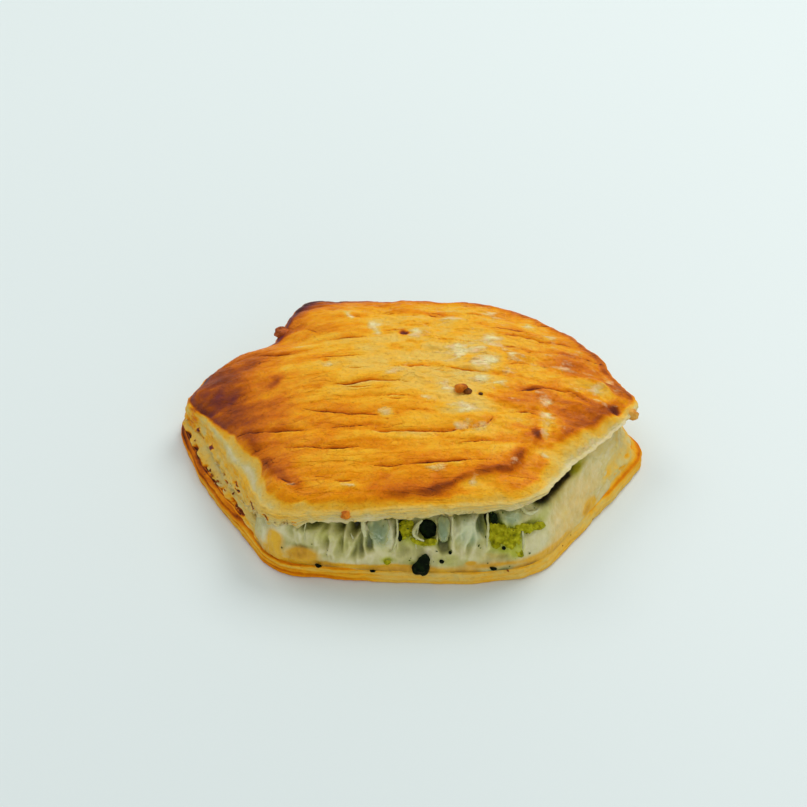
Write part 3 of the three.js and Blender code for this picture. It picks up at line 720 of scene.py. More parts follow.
def base_mesh():
    angle = even_angles(BASE, BASE_SPOKES)
    edge = at(angle, reach(BASE, angle), 0)
    far = reach(BASE, angle) + 0.45 * rough(edge, 8, 76, 2) + 0.2 * rough(edge, 2.5, 78, 2)
    lid = reach(LID, angle)
    wall = side("wall", angle)
    leafy = side("leafy", angle)
    crumbly = side("crumbly", angle)
    meets = side("meets", angle)
    proud = side("proud", angle)
    top = wall_height(angle)
    shoulder = 1.2 + 0.8 * (1 - leafy)
    rings, bake_and_painted_light_rows = [], []

    # Its underside, from the middle out.
    for share in (0.3, 0.6, 0.82, 0.95):
        rings.append(at(angle, (far - 1.1) * share, 0))
        bake_and_painted_light_rows.append(0.52 + 0.12 * rough(at(angle, far * share, 0), 9, 80, 2))

    # Its edge, with the leaves of dough and the steps between them.
    for t in np.linspace(0, 1, BASE_EDGE_RINGS):
        height = EDGE_HEIGHT * t + 0.4 * rough(edge, 9, 83, 2) * smooth((t - 0.3) / 0.7)
        inset = 0.5 * (1 - np.sqrt(np.clip(1 - (2 * t - 1) ** 6, 0, 1))) + 0.1
        inset = inset + (shoulder - 1.2) * smooth((t - 0.25) / 0.75) ** 1.4
        spot = at(angle, far, height)
        wander = 0.35 * noise(spot, (12, 12, 1e3), 84)
        phase = t * BASE_LEAVES + wander
        groove = np.abs(np.sin(np.pi * phase)) ** 0.6
        leaf = np.stack([edge[..., 0], edge[..., 1], 99 * np.floor(phase)], -1)
        step = 0.35 * noise(leaf, (14, 14, 1), 86)
        held = smooth(t / 0.12)
        out = (0.6 * leafy * (groove - 0.75) + step + 0.3 * rough(spot, (5, 5, 1.2), 85, 3)) * held
        rings.append(at(angle, far - inset + np.minimum(out, 0.45), height))
        line = 0.6 + 0.6 * noise(edge, 6, 89)
        shade = 0.27 + 0.05 * leafy + 0.36 * leafy * (1 - groove) * held
        shade += (0.14 + 0.14 * smooth(2 * leafy - 0.4)) * line * bump(t - 1, 0.08)
        shade += (0.05 + 0.2 * leafy) * bump(t, 0.2)
        bake_and_painted_light_rows.append(base_bake_and_painted_light(spot, angle, shade))

    # The wall of soft dough that rises from the edge to the lid, torn along its foot.
    for t in np.linspace(0.05, 1, BASE_WALL_RINGS):
        height = mix(EDGE_HEIGHT + 0.1, top, mix(t ** 0.85, smooth(t), 0.35))
        distance = mix(far - shoulder, lid * wall, t)
        spot = at(angle, distance, height)
        torn = proud + 0.7 * rough(spot, (7, 7, 4), 139, 3)
        distance = mix(distance, front_far(angle, height) + torn, meets * smooth(t / 0.2))
        spot = at(angle, distance, height)
        soft = 0.8 * rough(spot, (10, 10, 5), 90, 3) + 0.35 * rough(spot, (9, 9, 1.1), 93, 3)
        soft = soft * mix(1, 0.7, meets) + (0.1 + 0.3 * crumbly) * rough(spot, (2.4, 2.4, 1.4), 94, 3)
        near = 0.22 + 0.06 * noise(edge, 7, 130)
        ridge = crumbly * bump(t - near, 0.09)
        soft += ridge * (0.6 + 1.2 * rough(spot, (2.6, 2.6, 1.6), 132, 4))
        pores = smooth((rough(spot, (2.8, 2.8, 1.4), 136, 2) - 0.08) / 0.26)
        hole = crumbly * bump(t - near, 0.12) * pores
        soft -= 1.0 * hole
        held = smooth(t / 0.12) * smooth((1 - t) / 0.15)
        rings.append(at(angle, distance + soft * held, height + 0.25 * soft * held))
        leaf = np.cos(2 * np.pi * (t / 0.085 + 0.6 * noise(edge, 9, 134)))
        rim = leafy * smooth((near - 0.03 - t) / 0.05)
        shade = 0.12 + 0.14 * rough(spot, (14, 14, 1.1), 96, 3) + rim * (0.34 + 0.16 * leaf)
        # Painted shade darkens the holes torn along the ridge.
        shade += 0.5 * hole + 0.3 * ridge * rough(spot, 1.5, 138, 2) + 0.04 * crumbly - 0.04 * ridge
        shade += 0.09 * crumbly * leafy
        bake_and_painted_light_rows.append(base_bake_and_painted_light(spot, angle, shade))

    # Its inside, from the wall down to the bed that the filling lies on.
    for share in (0.9, 0.8, 0.68, 0.5, 0.25):
        height = mix(BED, top, smooth((share - 0.72) / 0.16))
        rings.append(at(angle, lid * wall * share, height))
        bake_and_painted_light_rows.append(np.full(angle.shape, 0.1))

    return skin("bottom_crust", np.array(rings), (0, 0, 0), (0, 0, BED), {"bake_and_painted_light": np.array(bake_and_painted_light_rows)})


# ---- Filling -------------------------------------------------------------------------------------

FILL_SPOKES = 760
FILL_RINGS = 100
FRONT_FOOT = EDGE_HEIGHT - 0.2              # lowest point of its front
FRONT_TALL = 17                             # how far its front goes up from there
# Hollows in the front of the filling: x, height, their reach along and up, and their depth.
HOLLOWS = [
    (-1.5, 14.8, 1.9, 2.2, 1.8), (4.3, 14.9, 2.5, 2, 5.5), (8.7, 15, 1.2, 2.6, 1.6),
    (21.8, 17.2, 1.5, 1.6, 4), (-26.6, 15.8, 1.6, 1.3, 2.6), (-23.4, 15.2, 1.2, 1.3, 2.2),
    (-19.8, 15, 2.2, 1.4, 3.2), (-15.2, 14.8, 1.6, 1.9, 3), (15, 18.8, 3, 0.9, 2),
    (-8, 18.6, 4, 0.9, 2), (-13.2, 12.6, 0.8, 1.8, 1.4), (-32.6, 12.6, 2.2, 2, 1.2),
    (-28.6, 7.2, 2.2, 1.3, 0.9), (-18.4, 11.6, 0.8, 2.4, 1.2), (-1.5, 10, 2.2, 1.8, 0.8),
    (-22.4, 10.4, 0.9, 2, 0.9), (12, 17, 0.7, 2, 1.2), (18.8, 16.4, 0.8, 2.4, 1),
    (-30.6, 15.8, 1.6, 1, 1.4), (31, 14, 3.4, 1.4, 0.9), (34.6, 18, 1.4, 1.2, 4),
    (37, 17.7, 1.6, 1.5, 8), (39.4, 17.4, 1.6, 1.4, 8), (42, 17.3, 1.6, 1, 6),
    (45.6, 16.6, 1.6, 0.8, 2.4),
]
# Where it is darker, or lighter if the amount is below nought, in the same way: partly its own tone,
# and partly painted shade, darkest in the gap under the lid at the right (x 35 to 43).
TONE_AND_SHADE_SPOTS = [
    (-20, 13, 8, 4, 0.04), (-28.5, 6.8, 3.4, 1.6, -0.02), (-28.6, 9.5, 3.4, 0.5, 0.3),
    (-34, 13.4, 3.4, 2.6, -0.28), (-36, 9.8, 2, 2.4, -0.2), (-24, 15.6, 7, 2.2, -0.14),
    (-8, 10, 3, 1.6, -0.1), (-12.3, 16, 1, 3, -0.2), (22, 14.6, 2.4, 2, 0.18),
    (16, 8, 5, 1.6, -0.06), (-2.8, 14, 1.2, 2, 0.3), (0, 9.6, 3, 1.4, 0.1), (-5.2, 14, 1, 4, -0.2),
    (30, 9, 5, 3, -0.06), (38, 15.4, 3.4, 1.6, 0.1), (35.7, 17, 1, 0.7, 0.7),
    (37.5, 16.8, 1.6, 0.95, 1.8), (40.2, 16.6, 1.8, 0.85, 1.8), (42.8, 16.5, 1.4, 0.55, 1.2),
    (48.6, 5.4, 0.9, 1.2, 0.3), (44, 11, 8, 5, -0.1),
]
# Swellings of it, in the same way.
SWELLINGS = [
    (-33, 13.6, 4.5, 3.2, 1.4), (-28.6, 7, 3.4, 2, 2.1), (25, 12, 5, 3.5, 0.8), (32, 9, 6, 4, 0.8),
    (-6, 7.4, 9, 2.5, 0.6), (-18, 8, 5, 3, 0.8), (9, 8.2, 5, 2.4, 0.7), (-37.6, 7, 3, 3, 1),
    (15.6, 8.4, 4, 2, 0.6), (-12, 9, 3, 3, 0.5), (-36, 9.8, 1.5, 1.8, 0.6),
]
# Upright folds and strings that stand out of it: x, lowest and highest point, half width, how far out.
COLUMNS = [
    (-38.8, 5, 12, 0.6, 1), (-29.4, 9.4, 16, 0.45, 1), (-25, 8, 15, 0.5, 1),
    (-21.6, 6, 16, 0.5, 1.1), (-17.6, 8, 17, 0.45, 1.1), (-16, 5.6, 13, 0.4, 0.7),
    (-13.9, 5, 15, 0.5, 0.9), (-12.3, 13, 20, 0.7, 1.8), (-3.6, 9, 20, 0.4, 1.3),
    (6.9, 10.5, 18, 0.35, 1.1), (10.8, 9, 19, 0.5, 1.3), (13.2, 7, 18, 0.35, 0.4),
    (16.9, 11, 19, 0.45, 0.4), (20.1, 9, 19, 0.45, 1.4), (24.9, 4.6, 8, 0.4, 0.6),
    (-35.4, 5, 9, 0.5, 0.6), (-10, 5, 9, 0.5, 0.6), (5.8, 5, 9, 0.5, 0.5),
    (29.6, 7.4, 14, 0.5, 0.9), (-5.2, 9.4, 20, 1.1, 2),
]
# Where it is greener.
GREENS = [
    (-1.4, 14.6, 2.2, 2.2, 1.1), (4, 12, 4.4, 1.1, 0.8), (23.6, 12.6, 3.2, 3.4, 1.2),
    (27.6, 10.6, 1.9, 3.2, 1.4), (22, 15.8, 1.8, 1.4, 0.8), (31, 14, 4.6, 1.4, 0.6),
    (-6.4, 7.1, 1.8, 0.9, 0.9), (9, 8, 4, 2.4, 0.35), (14, 12, 4, 3, 0.2), (-20, 11, 6, 3, 0.12),
    (2, 6, 3, 2, 0.4), (-24, 13, 3, 2, 0.2), (45.8, 16.4, 1.7, 1, 1.1), (40, 15, 5, 2, 0.25),
]
# Where it is golden.
GOLDS = [
    (-36, 9.8, 1.7, 2.2, 2), (-28.5, 7.2, 3.6, 1.9, 2), (-36.4, 6, 3, 1.4, 0.7),
    (32, 5.6, 6, 1.4, 0.5), (15.8, 6.5, 1.2, 0.6, 1.3), (-38, 6, 4, 2, 0.5), (-2, 5, 14, 0.9, 0.5),
    (20, 5.4, 6, 1, 0.5), (-14, 4.6, 12, 0.8, 0.6), (22, 8, 6, 1.6, 0.35), (46, 9, 8, 5, 0.2),
    (49.4, 5.4, 1.5, 1.2, 2.2),
]
# Where it is cooked onion, clear and greyish.
CLEARS = [
    (-7.6, 14, 3.6, 3.4, 1), (8.8, 15, 1.4, 2.8, 0.9), (15.4, 14.4, 4.2, 4, 1),
    (-13, 11.6, 4, 3, 0.3), (26.6, 17, 3, 1.8, 0.9), (-20, 12, 2, 3, 0.25),
    (-33, 13.4, 3, 2.4, 0.3),
]


def columns(x, z, sway):
    """How far the upright folds stand out at each place."""
    total = np.zeros(x.shape)
    for middle, low, high, width, out in COLUMNS:
        held = smooth((z - low) / 2.5) * smooth((high - z) / 2)
        total = np.maximum(total, out * held * bump(x - middle - sway, width * (1.4 - 0.4 * held)))
    return total


def filling_mesh():
    angle = even_angles(BASE, FILL_SPOKES, lambda turn: 1 + 3.4 * side("drape", turn))
    drape = side("drape", angle)
    lid = reach(LID, angle)
    inside = lid * np.minimum(side("wall", angle), 0.98) - 3
    foot_far = mix(inside, reach(BASE, angle) - 1, drape)
    head_far = mix(inside - 3, lid - 4, drape)
    low = mix(wall_height(angle) * 0.4 + 3, FRONT_FOOT, drape)
    high = ceiling_height(angle, head_far / lid) + mix(-GAP, 0.8, drape)
    rings = []
    values = {"tone": [], "green": [], "gold": [], "clear": []}

    def add(ring, **shades):
        rings.append(ring)
        for key, rows in values.items():
            rows.append(np.clip(shades.get(key, 0), 0, 1) + 0 * angle)

    # Its underside, painted darker as shade.
    for share in (0.3, 0.6, 0.85):
        add(at(angle, foot_far * share * 0.97, mix(BED + GAP, low - 0.3, share ** 3)), tone=0.6)

    # Its side, which hangs open in front: pleats and folds between swellings and hollows.
    for t in np.linspace(0, 1, FILL_RINGS):
        height = mix(low, high, t)
        distance = mix(mix(foot_far, head_far, bellied(t)), front_far(angle, height), drape)
        spot = at(angle, distance, height)
        x, z = spot[..., 0], spot[..., 2]
        sway = 0.5 * rough(spot, (5, 1e3, 6), 100, 2)
        border, own = bubbles(x / 4.2 + sway, z / 6 + 0.25 * sway + 0.3 * np.sin(x / 5), 110)
        calm = mix(0.15, 1, smooth((31 - x) / 4)) * mix(0.3, 1, smooth((x + 36) / 5))
        cell = smooth(border / 0.5)
        upper = smooth((t - 0.1) / 0.35) * smooth((1.04 - t) / 0.08) * calm
        sunk = cell * (0.1 + 2 * own ** 2) * upper
        pleat = (0.4 - np.abs(rough(spot, (3.2, 1e3, 9), 120, 3))) * smooth(t / 0.25) * calm
        body = 1.1 * rough(spot, (5, 5, 4), 104, 2) * mix(0.4, 1, calm)
        body = body + 0.25 * rough(spot, 1.4, 107, 2)
        hollow = spots(x, z, HOLLOWS)
        swell = spots(x, z, SWELLINGS)
        fold = columns(x, z, 0.5 * sway)
        tuck = 1.6 * smooth((t - 0.7) / 0.3)
        out = (swell + body + 0.4 * fold + 0.25 * pleat - 0.8 * sunk - hollow) * smooth(t / 0.08) - tuck
        rise = 0.3 * np.maximum(out, -3) * drape * smooth(t / 0.1)
        ring = at(angle, distance + out * drape, height + rise)
        # Painted shade: darker in the sunk cells, in the hollows and towards the top under the lid.
        # Painted highlights: lighter on the pleats, the folds, the cell borders and where it bulges.
        shade = 0.12 + 0.36 * sunk + 0.4 * smooth((t - 0.58) / 0.4) ** 1.4 * calm
        shade = shade + 0.18 * np.minimum(hollow, 6)
        shade += 0.26 * rough(spot, (4.4, 4, 4.2), 108, 3) * mix(0.3, 1, calm) - 0.05 * body
        shade += spots(x, z, TONE_AND_SHADE_SPOTS)
        shade -= 0.06 * (1 - cell) * upper + 0.2 * pleat + 0.2 * fold
        seam = bump(t - 0.01, 0.045) * (0.6 + noise(spot, (4, 1e3, 9), 124))
        shade += 0.34 * seam * smooth((44 - x) / 6)
        green = spots(x, z, GREENS) + 0.12 + 0.25 * rough(spot, (6, 7, 5), 130, 2)
        gold = spots(x, z, GOLDS) + 0.3 * smooth((x - 33) / 6)
        gold += bump(t, 0.1) * (1.1 + 1.1 * noise(spot, (5, 1e3, 1.2), 122)) * smooth((46 - x) / 8)
        add(ring, tone=shade, green=green, gold=gold, clear=spots(x, z, CLEARS))

    # Its top, under the lid, painted dark as the shade there.
    for share in (0.8, 0.55, 0.3):
        add(at(angle, head_far * share, ceiling_height(angle, share * 0.9) - 2 * GAP), tone=1)

    low_point, high_point = (0, 0, BED + GAP), (0, 0, CEILING - 2 * GAP)
    arrays = {key: np.array(rows) for key, rows in values.items()}
    return skin("spinach_filling", np.array(rings), low_point, high_point, arrays)


def front_place(x, height, out=0.0):
    """A place on the front of the filling, out millimetres before it."""
    angle = np.arctan2(-48.0, x)
    for _ in range(3):
        distance = front_far(angle, height) + out
        y = -np.sqrt(np.maximum(distance ** 2 - np.asarray(x, float) ** 2, 1))
        angle = np.arctan2(y, x)
    return np.stack([x + 0 * y, y, height + 0 * y], axis=-1)


# ---- Small pieces --------------------------------------------------------------------------------

SHEET_SPOKES = 72
SHEET_RINGS = 26


def lump_mesh(name, centre, radii, seed, wild, grain):
    """A closed lump: a ball pushed in and out by noise, wild being the share of its radius."""
    ball = bmesh.new()
    bmesh.ops.create_icosphere(ball, subdivisions=4, radius=1)
    points = np.array([v.co[:] for v in ball.verts])
    faces = [[v.index for v in f.verts] for f in ball.faces]
    ball.free()
    swell = 1 + wild * rough(points + seed, 1.1, seed, 2)
    swell = swell + 0.3 * grain * rough(points + seed, 0.5, seed + 5, 3)
    return mesh_of(name, points * swell[:, None] * np.array(radii) + np.array(centre), faces)


def sheet_mesh(name, outline, thickness, out, curl, seed, crumple, torn):
    """A thin closed leaf or slice lying on the filling's front, from an outline in x and height.

    out is how far it stands before the filling, and curl how far its middle bulges; crumple is the
    height of its waves, and torn how uneven its border is.
    """
    outline = np.array(outline, float)
    middle = outline.mean(0)
    ring = dense(rounded([(x, y, 9) for x, y in outline]), 0.15)
    turn = np.linspace(-np.pi, np.pi, SHEET_SPOKES, endpoint=False)
    far = reach(ring - middle, turn)
    circle = np.stack([np.cos(turn), np.sin(turn), 0 * turn], -1)
    tear = noise(3 * circle, 1.1, seed + 3) + 0.6 * noise(9 * circle, 1.1, seed + 4)
    far = far * (1 + torn * tear)
    front, back, edges = [], [], []
    for share in np.linspace(1, 0.04, SHEET_RINGS):
        x = middle[0] + far * share * np.cos(turn)
        z = middle[1] + far * share * np.sin(turn)
        flat = np.stack([x, z, 0 * x], axis=-1)
        wave = crumple * rough(flat, 2.2, seed, 3)
        lift = out + curl * (1 - share ** 2) + wave
        thick = thickness * np.sqrt(1 - 0.97 * share ** 6)
        front.append(front_place(x, z, lift + thick / 2))
        back.append(front_place(x, z, lift - thick / 2))
        edges.append(np.full(turn.shape, share))
    rings = np.array(front[::-1] + back)
    low, high = front[-1].mean(0), back[-1].mean(0)
    return skin(name, rings, low, high, {"edge": np.array(edges[::-1] + edges)})


def joined(name, meshes):
    """One mesh of several, which keeps their named values."""
    holder = bmesh.new()
    for mesh in meshes:
        holder.from_mesh(mesh)
    merged = bpy.data.meshes.new(name)
    holder.to_mesh(merged)
    holder.free()
    return merged


def curved(points, steps=8):
    """A smooth path through points, by Catmull-Rom."""
    points = np.array(points, float)
    ends = np.vstack([2 * points[0] - points[1], points, 2 * points[-1] - points[-2]])
    path = []
    for a, b, c, d in zip(ends[:-3], ends[1:-2], ends[2:-1], ends[3:]):
        for t in np.linspace(0, 1, steps, endpoint=False):
            bend = 2 * a - 5 * b + 4 * c - d
            path.append(0.5 * (2 * b + (c - a) * t + bend * t ** 2 + (3 * b - a - 3 * c + d) * t ** 3))
    return np.array(path + [points[-1]])


def strand_guide(strands):
    """The paths of strands as one mesh of edges, with how thick each is along its way."""
    points, edges, widths = [], [], []
    for path, width in strands:
        path = curved(path)
        start = len(points)
        share = np.linspace(0, 1, len(path))
        points.extend(front_place(path[:, 0], path[:, 1], path[:, 2]))
        uneven = 1 + 0.3 * noise(path * 1.0, 2.0, 400)
        taper = 0.35 + 0.65 * np.sin(np.pi * np.clip(share, 0.03, 0.97)) ** 0.5
        widths.extend(width * uneven * taper)
        edges.extend((start + i, start + i + 1) for i in range(len(path) - 1))
    mesh = bpy.data.meshes.new("strand_guide")
    mesh.from_pydata((np.array(points) * MM).tolist(), edges, [])
    layer = mesh.attributes.new("width", "FLOAT", "POINT")
    layer.data.foreach_set("value", np.array(widths, np.float32))
    return mesh


def strip_guide(angle, low_far, low, high_far, high, crowd):
    """A band round the pastry that small pieces are scattered on, and how thickly they lie."""
    points = np.vstack([at(angle, low_far, low), at(angle, high_far, high)])
    count = len(angle)
    faces = [(i, i + 1, count + i + 1, count + i) for i in range(count - 1)]
    return mesh_of("strip_guide", points, faces, {"crowd": np.concatenate([crowd, crowd])})


# ---- Geometry nodes ------------------------------------------------------------------------------


class Tree:
    """A geometry node tree with named sizes, which ends in plain meshes of one material."""

    def __init__(self, name, **sizes):
        self.group = bpy.data.node_groups.new(name, "GeometryNodeTree")
        face = self.group.interface
        face.new_socket("Geometry", in_out="INPUT", socket_type="NodeSocketGeometry")
        for key, value in sizes.items():
            whole = isinstance(value, int)
            kind = "NodeSocketInt" if whole else "NodeSocketFloat"
            face.new_socket(key, in_out="INPUT", socket_type=kind).default_value = value
        face.new_socket("Material", in_out="INPUT", socket_type="NodeSocketMaterial")
        face.new_socket("Geometry", in_out="OUTPUT", socket_type="NodeSocketGeometry")
        self.given = self.group.nodes.new("NodeGroupInput").outputs
        self.result = self.group.nodes.new("NodeGroupOutput").inputs[0]

    def node(self, kind, links=None, **settings):
        made = self.group.nodes.new(kind)
        for key, value in settings.items():
            setattr(made, key, value)
        for key, source in (links or {}).items():
            if isinstance(source, bpy.types.NodeSocket):
                self.group.links.new(source, made.inputs[key])
            else:
                made.inputs[key].default_value = source
        return made

    def attribute(self, name):
        """A named value of the guide."""
        made = self.node("GeometryNodeInputNamedAttribute", {"Name": name}, data_type="FLOAT")
        return made.outputs["Attribute"]

    def scaled(self, vector, factor):
        made = self.node("ShaderNodeVectorMath", {0: vector, "Scale": factor}, operation="SCALE")
        return made.outputs["Vector"]

    def wobbled(self, geometry, size, amount):
        """Every point moved by noise: size is the width of a bump, amount how far it moves."""
        place = self.node("GeometryNodeInputPosition").outputs[0]
        fine = self.node("ShaderNodeMath", {0: 1.0, 1: size}, operation="DIVIDE").outputs[0]
        grain = self.node("ShaderNodeTexNoise", {"Vector": place, "Scale": fine, "Detail": 1.0})
        centred = self.node("ShaderNodeVectorMath", {
            0: grain.outputs["Color"], 1: (0.5, 0.5, 0.5),
        }, operation="SUBTRACT")
        offset = self.scaled(centred.outputs["Vector"], amount)
        return self.node("GeometryNodeSetPosition", {"Geometry": geometry, "Offset": offset}).outputs[0]

    def finish(self, geometry):
        plain = self.node("GeometryNodeRealizeInstances", {"Geometry": geometry}).outputs[0]
        smoothed = self.node("GeometryNodeSetShadeSmooth", {"Geometry": plain}).outputs[0]
        named = self.node("GeometryNodeSetMaterial", {
            "Geometry": smoothed, "Material": self.given["Material"],
        })
        self.group.links.new(named.outputs[0], self.result)

    def grow(self, name, guide, material, **sizes):
        """A new object, which holds what the tree makes of the guide mesh."""
        seat = bpy.data.objects.new(name + "_guide", guide)
        bpy.context.scene.collection.objects.link(seat)
        modifier = seat.modifiers.new("grown", "NODES")
        modifier.node_group = self.group
        sockets = {i.name: i.identifier for i in self.group.interface.items_tree if i.in_out == "INPUT"}
        for key, value in {**sizes, "Material": material}.items():
            modifier[sockets[key]] = value
        seen = seat.evaluated_get(bpy.context.evaluated_depsgraph_get())
        mesh = bpy.data.meshes.new_from_object(seen)
        bpy.data.objects.remove(seat)
        mesh.name = name
        piece = bpy.data.objects.new(name, mesh)
        bpy.context.scene.collection.objects.link(piece)
        return piece


def strand_tree():
    """Round strands along the edges of a guide; its width attribute says how thick they are."""
    tree = Tree("strands", Sides=8, Step=0.0003, Wave=0.0012, Wobble=0.0003)
    path = tree.node("GeometryNodeMeshToCurve", {"Mesh": tree.given["Geometry"]}).outputs[0]
    spaced = tree.node("GeometryNodeResampleCurve", {
        "Curve": path, "Length": tree.given["Step"],
    }, mode="LENGTH").outputs[0]
    ring = tree.node("GeometryNodeCurvePrimitiveCircle", {
        "Resolution": tree.given["Sides"], "Radius": 1.0,
    }).outputs[0]
    tube = tree.node("GeometryNodeCurveToMesh", {
        "Curve": spaced, "Profile Curve": ring, "Scale": tree.attribute("width"), "Fill Caps": True,
    })
    tree.finish(tree.wobbled(tube.outputs[0], tree.given["Wave"], tree.given["Wobble"]))
    return tree


def scatter_tree():
    """Flattened bits, laid at random on a guide; its crowd attribute says where they lie thicker."""
    tree = Tree(
        "scattered_bits", Density=1e5, Smallest=0.0003, Largest=0.001, Flatness=0.3, Lift=0.0,
        Wave=0.0012, Wobble=0.0005, Seed=1,
    )
    density = tree.node("ShaderNodeMath", {
        0: tree.attribute("crowd"), 1: tree.given["Density"],
    }, operation="MULTIPLY").outputs[0]
    points = tree.node("GeometryNodeDistributePointsOnFaces", {
        "Mesh": tree.given["Geometry"], "Density": density, "Seed": tree.given["Seed"],
    })
    bit = tree.node("GeometryNodeMeshUVSphere", {"Segments": 8, "Rings": 5, "Radius": 1.0}).outputs[0]
    turn = tree.node("FunctionNodeRandomValue", {"Seed": tree.given["Seed"]}, data_type="FLOAT_VECTOR")
    turn.inputs["Min"].default_value = (-0.5, -0.5, 0.0)
    turn.inputs["Max"].default_value = (0.5, 0.5, 6.283)
    spin = tree.node("FunctionNodeEulerToRotation", {"Euler": turn.outputs["Value"]}).outputs[0]
    turned = tree.node("FunctionNodeRotateRotation", {
        "Rotation": points.outputs["Rotation"], "Rotate By": spin,
    }, rotation_space="LOCAL").outputs[0]
    size = tree.node("FunctionNodeRandomValue", {"Seed": tree.given["Seed"]}, data_type="FLOAT")
    ends = {socket.identifier: socket for socket in size.inputs}
    tree.group.links.new(tree.given["Smallest"], ends["Min_001"])
    tree.group.links.new(tree.given["Largest"], ends["Max_001"])
    shape = tree.node("ShaderNodeCombineXYZ", {
        "X": 1.0, "Y": 0.6, "Z": tree.given["Flatness"],
    }).outputs[0]
    scale = tree.scaled(shape, size.outputs["Value"])
    placed = tree.node("GeometryNodeInstanceOnPoints", {
        "Points": points.outputs["Points"], "Instance": bit, "Rotation": turned, "Scale": scale,
    }).outputs[0]
    plain = tree.node("GeometryNodeRealizeInstances", {"Geometry": placed}).outputs[0]
    tree.finish(tree.wobbled(plain, tree.given["Wave"], tree.given["Wobble"]))
    return tree


# ---- Materials -----------------------------------------------------------------------------------


def colour(red, green, blue):
    """A colour given as on a screen, from 0 to 255, in the shader's own linear values."""
    def linear(v):
        v /= 255
        return v / 12.92 if v <= 0.04045 else ((v + 0.055) / 1.055) ** 2.4
    return (linear(red), linear(green), linear(blue), 1)


class Shader:
    """A node material with short ways to add and link its nodes."""

    def __init__(self, name):
        self.material = bpy.data.materials.new(name)
        self.material.use_nodes = True
        self.tree = self.material.node_tree
        self.surface = self.tree.nodes["Principled BSDF"]
        self.place = self.node("ShaderNodeTexCoord").outputs["Object"]

    def node(self, kind, links=None, **settings):
        made = self.tree.nodes.new(kind)
        for key, value in settings.items():
            setattr(made, key, value)
        for key, source in (links or {}).items():
            self.link(source, made.inputs[key])
        return made

    def link(self, source, target):
        if isinstance(source, bpy.types.NodeSocket):
            self.tree.links.new(source, target)
        else:
            target.default_value = source

    def attribute(self, name):
        return self.node("ShaderNodeAttribute", attribute_name=name).outputs["Fac"]

    def noise(self, size_mm, stretch=(1, 1, 1), detail=4, roughness=0.55):
        place = self.node("ShaderNodeMapping", {"Vector": self.place})
        place.inputs["Scale"].default_value = [1 / (size_mm * MM * s) for s in stretch]
        grain = self.node("ShaderNodeTexNoise", {"Vector": place.outputs["Vector"], "Scale": 1.0})
        grain.inputs["Detail"].default_value = detail
        grain.inputs["Roughness"].default_value = roughness
        return grain.outputs["Fac"]

    def maths(self, operation, a, b):
        return self.node("ShaderNodeMath", {0: a, 1: b}, operation=operation).outputs[0]

    def times(self, first, *others):
        product = first
        for factor in others:
            product = self.maths("MULTIPLY", product, factor)
        return product

    def vary(self, base, grain, amount):
        """base, moved up and down by a grain that runs from 0 to 1."""
        shifted = self.maths("SUBTRACT", grain, 0.5)
        return self.maths("ADD", base, self.times(shifted, amount))

    def ramp(self, value, stops):
        """Colours for a value: each stop has a position and a colour as on a screen."""
        made = self.node("ShaderNodeValToRGB", {"Fac": value})
        steps = made.color_ramp.elements
        while len(steps) < len(stops):
            steps.new(0.5)
        for step, (position, tint) in zip(steps, stops):
            step.position = position
            step.color = colour(*tint)
        return made.outputs["Color"]

    def range(self, value, low, high, start=0.0, end=1.0):
        """low while the value is up to start, high from end on, and evenly between."""
        made = self.node("ShaderNodeMapRange", {"Value": value, "To Min": low, "To Max": high})
        made.inputs["From Min"].default_value = start
        made.inputs["From Max"].default_value = end
        return made.outputs["Result"]

    def rise(self, value, start, end):
        return self.range(value, 0.0, 1.0, start, end)

    def blend(self, share, a, b):
        made = self.node("ShaderNodeMix", data_type="RGBA")
        self.link(share, made.inputs["Factor"])
        self.link(a, made.inputs["A"])
        self.link(b, made.inputs["B"])
        return made.outputs["Result"]

    def bumps(self, *layers):
        """Chained bumps, each a (height, depth in millimetres) pair."""
        normal = None
        for height, depth in layers:
            made = self.node("ShaderNodeBump", {"Height": height, "Distance": depth * MM})
            if normal:
                self.link(normal, made.inputs["Normal"])
            normal = made.outputs["Normal"]
        self.link(normal, self.surface.inputs["Normal"])

    def set(self, **values):
        """Gives the surface its values, fixed or from a node; a key is the name with _ for a space."""
        for key, value in values.items():
            self.link(value, self.surface.inputs[key.replace("_", " ")])

    def soft(self, weight, radius, scale_mm):
        """Light that goes a little way into the surface."""
        self.set(Subsurface_Weight=weight, Subsurface_Radius=radius, Subsurface_Scale=scale_mm * MM)


# Baked dough from white to burnt, the two shades of its flakes, and the tint of what is burnt.
BAKED = [
    (0.0, (230, 214, 166)),
    (0.13, (224, 202, 126)),
    (0.26, (240, 196, 88)),
    (0.4, (250, 182, 38)),
    (0.52, (242, 150, 2)),
    (0.64, (222, 118, 0)),
    (0.76, (176, 82, 2)),
    (0.88, (120, 52, 18)),
    (1.0, (52, 24, 16)),
]
FLAKY = (colour(255, 214, 166), colour(255, 244, 184))
BURNT = colour(128, 56, 68)


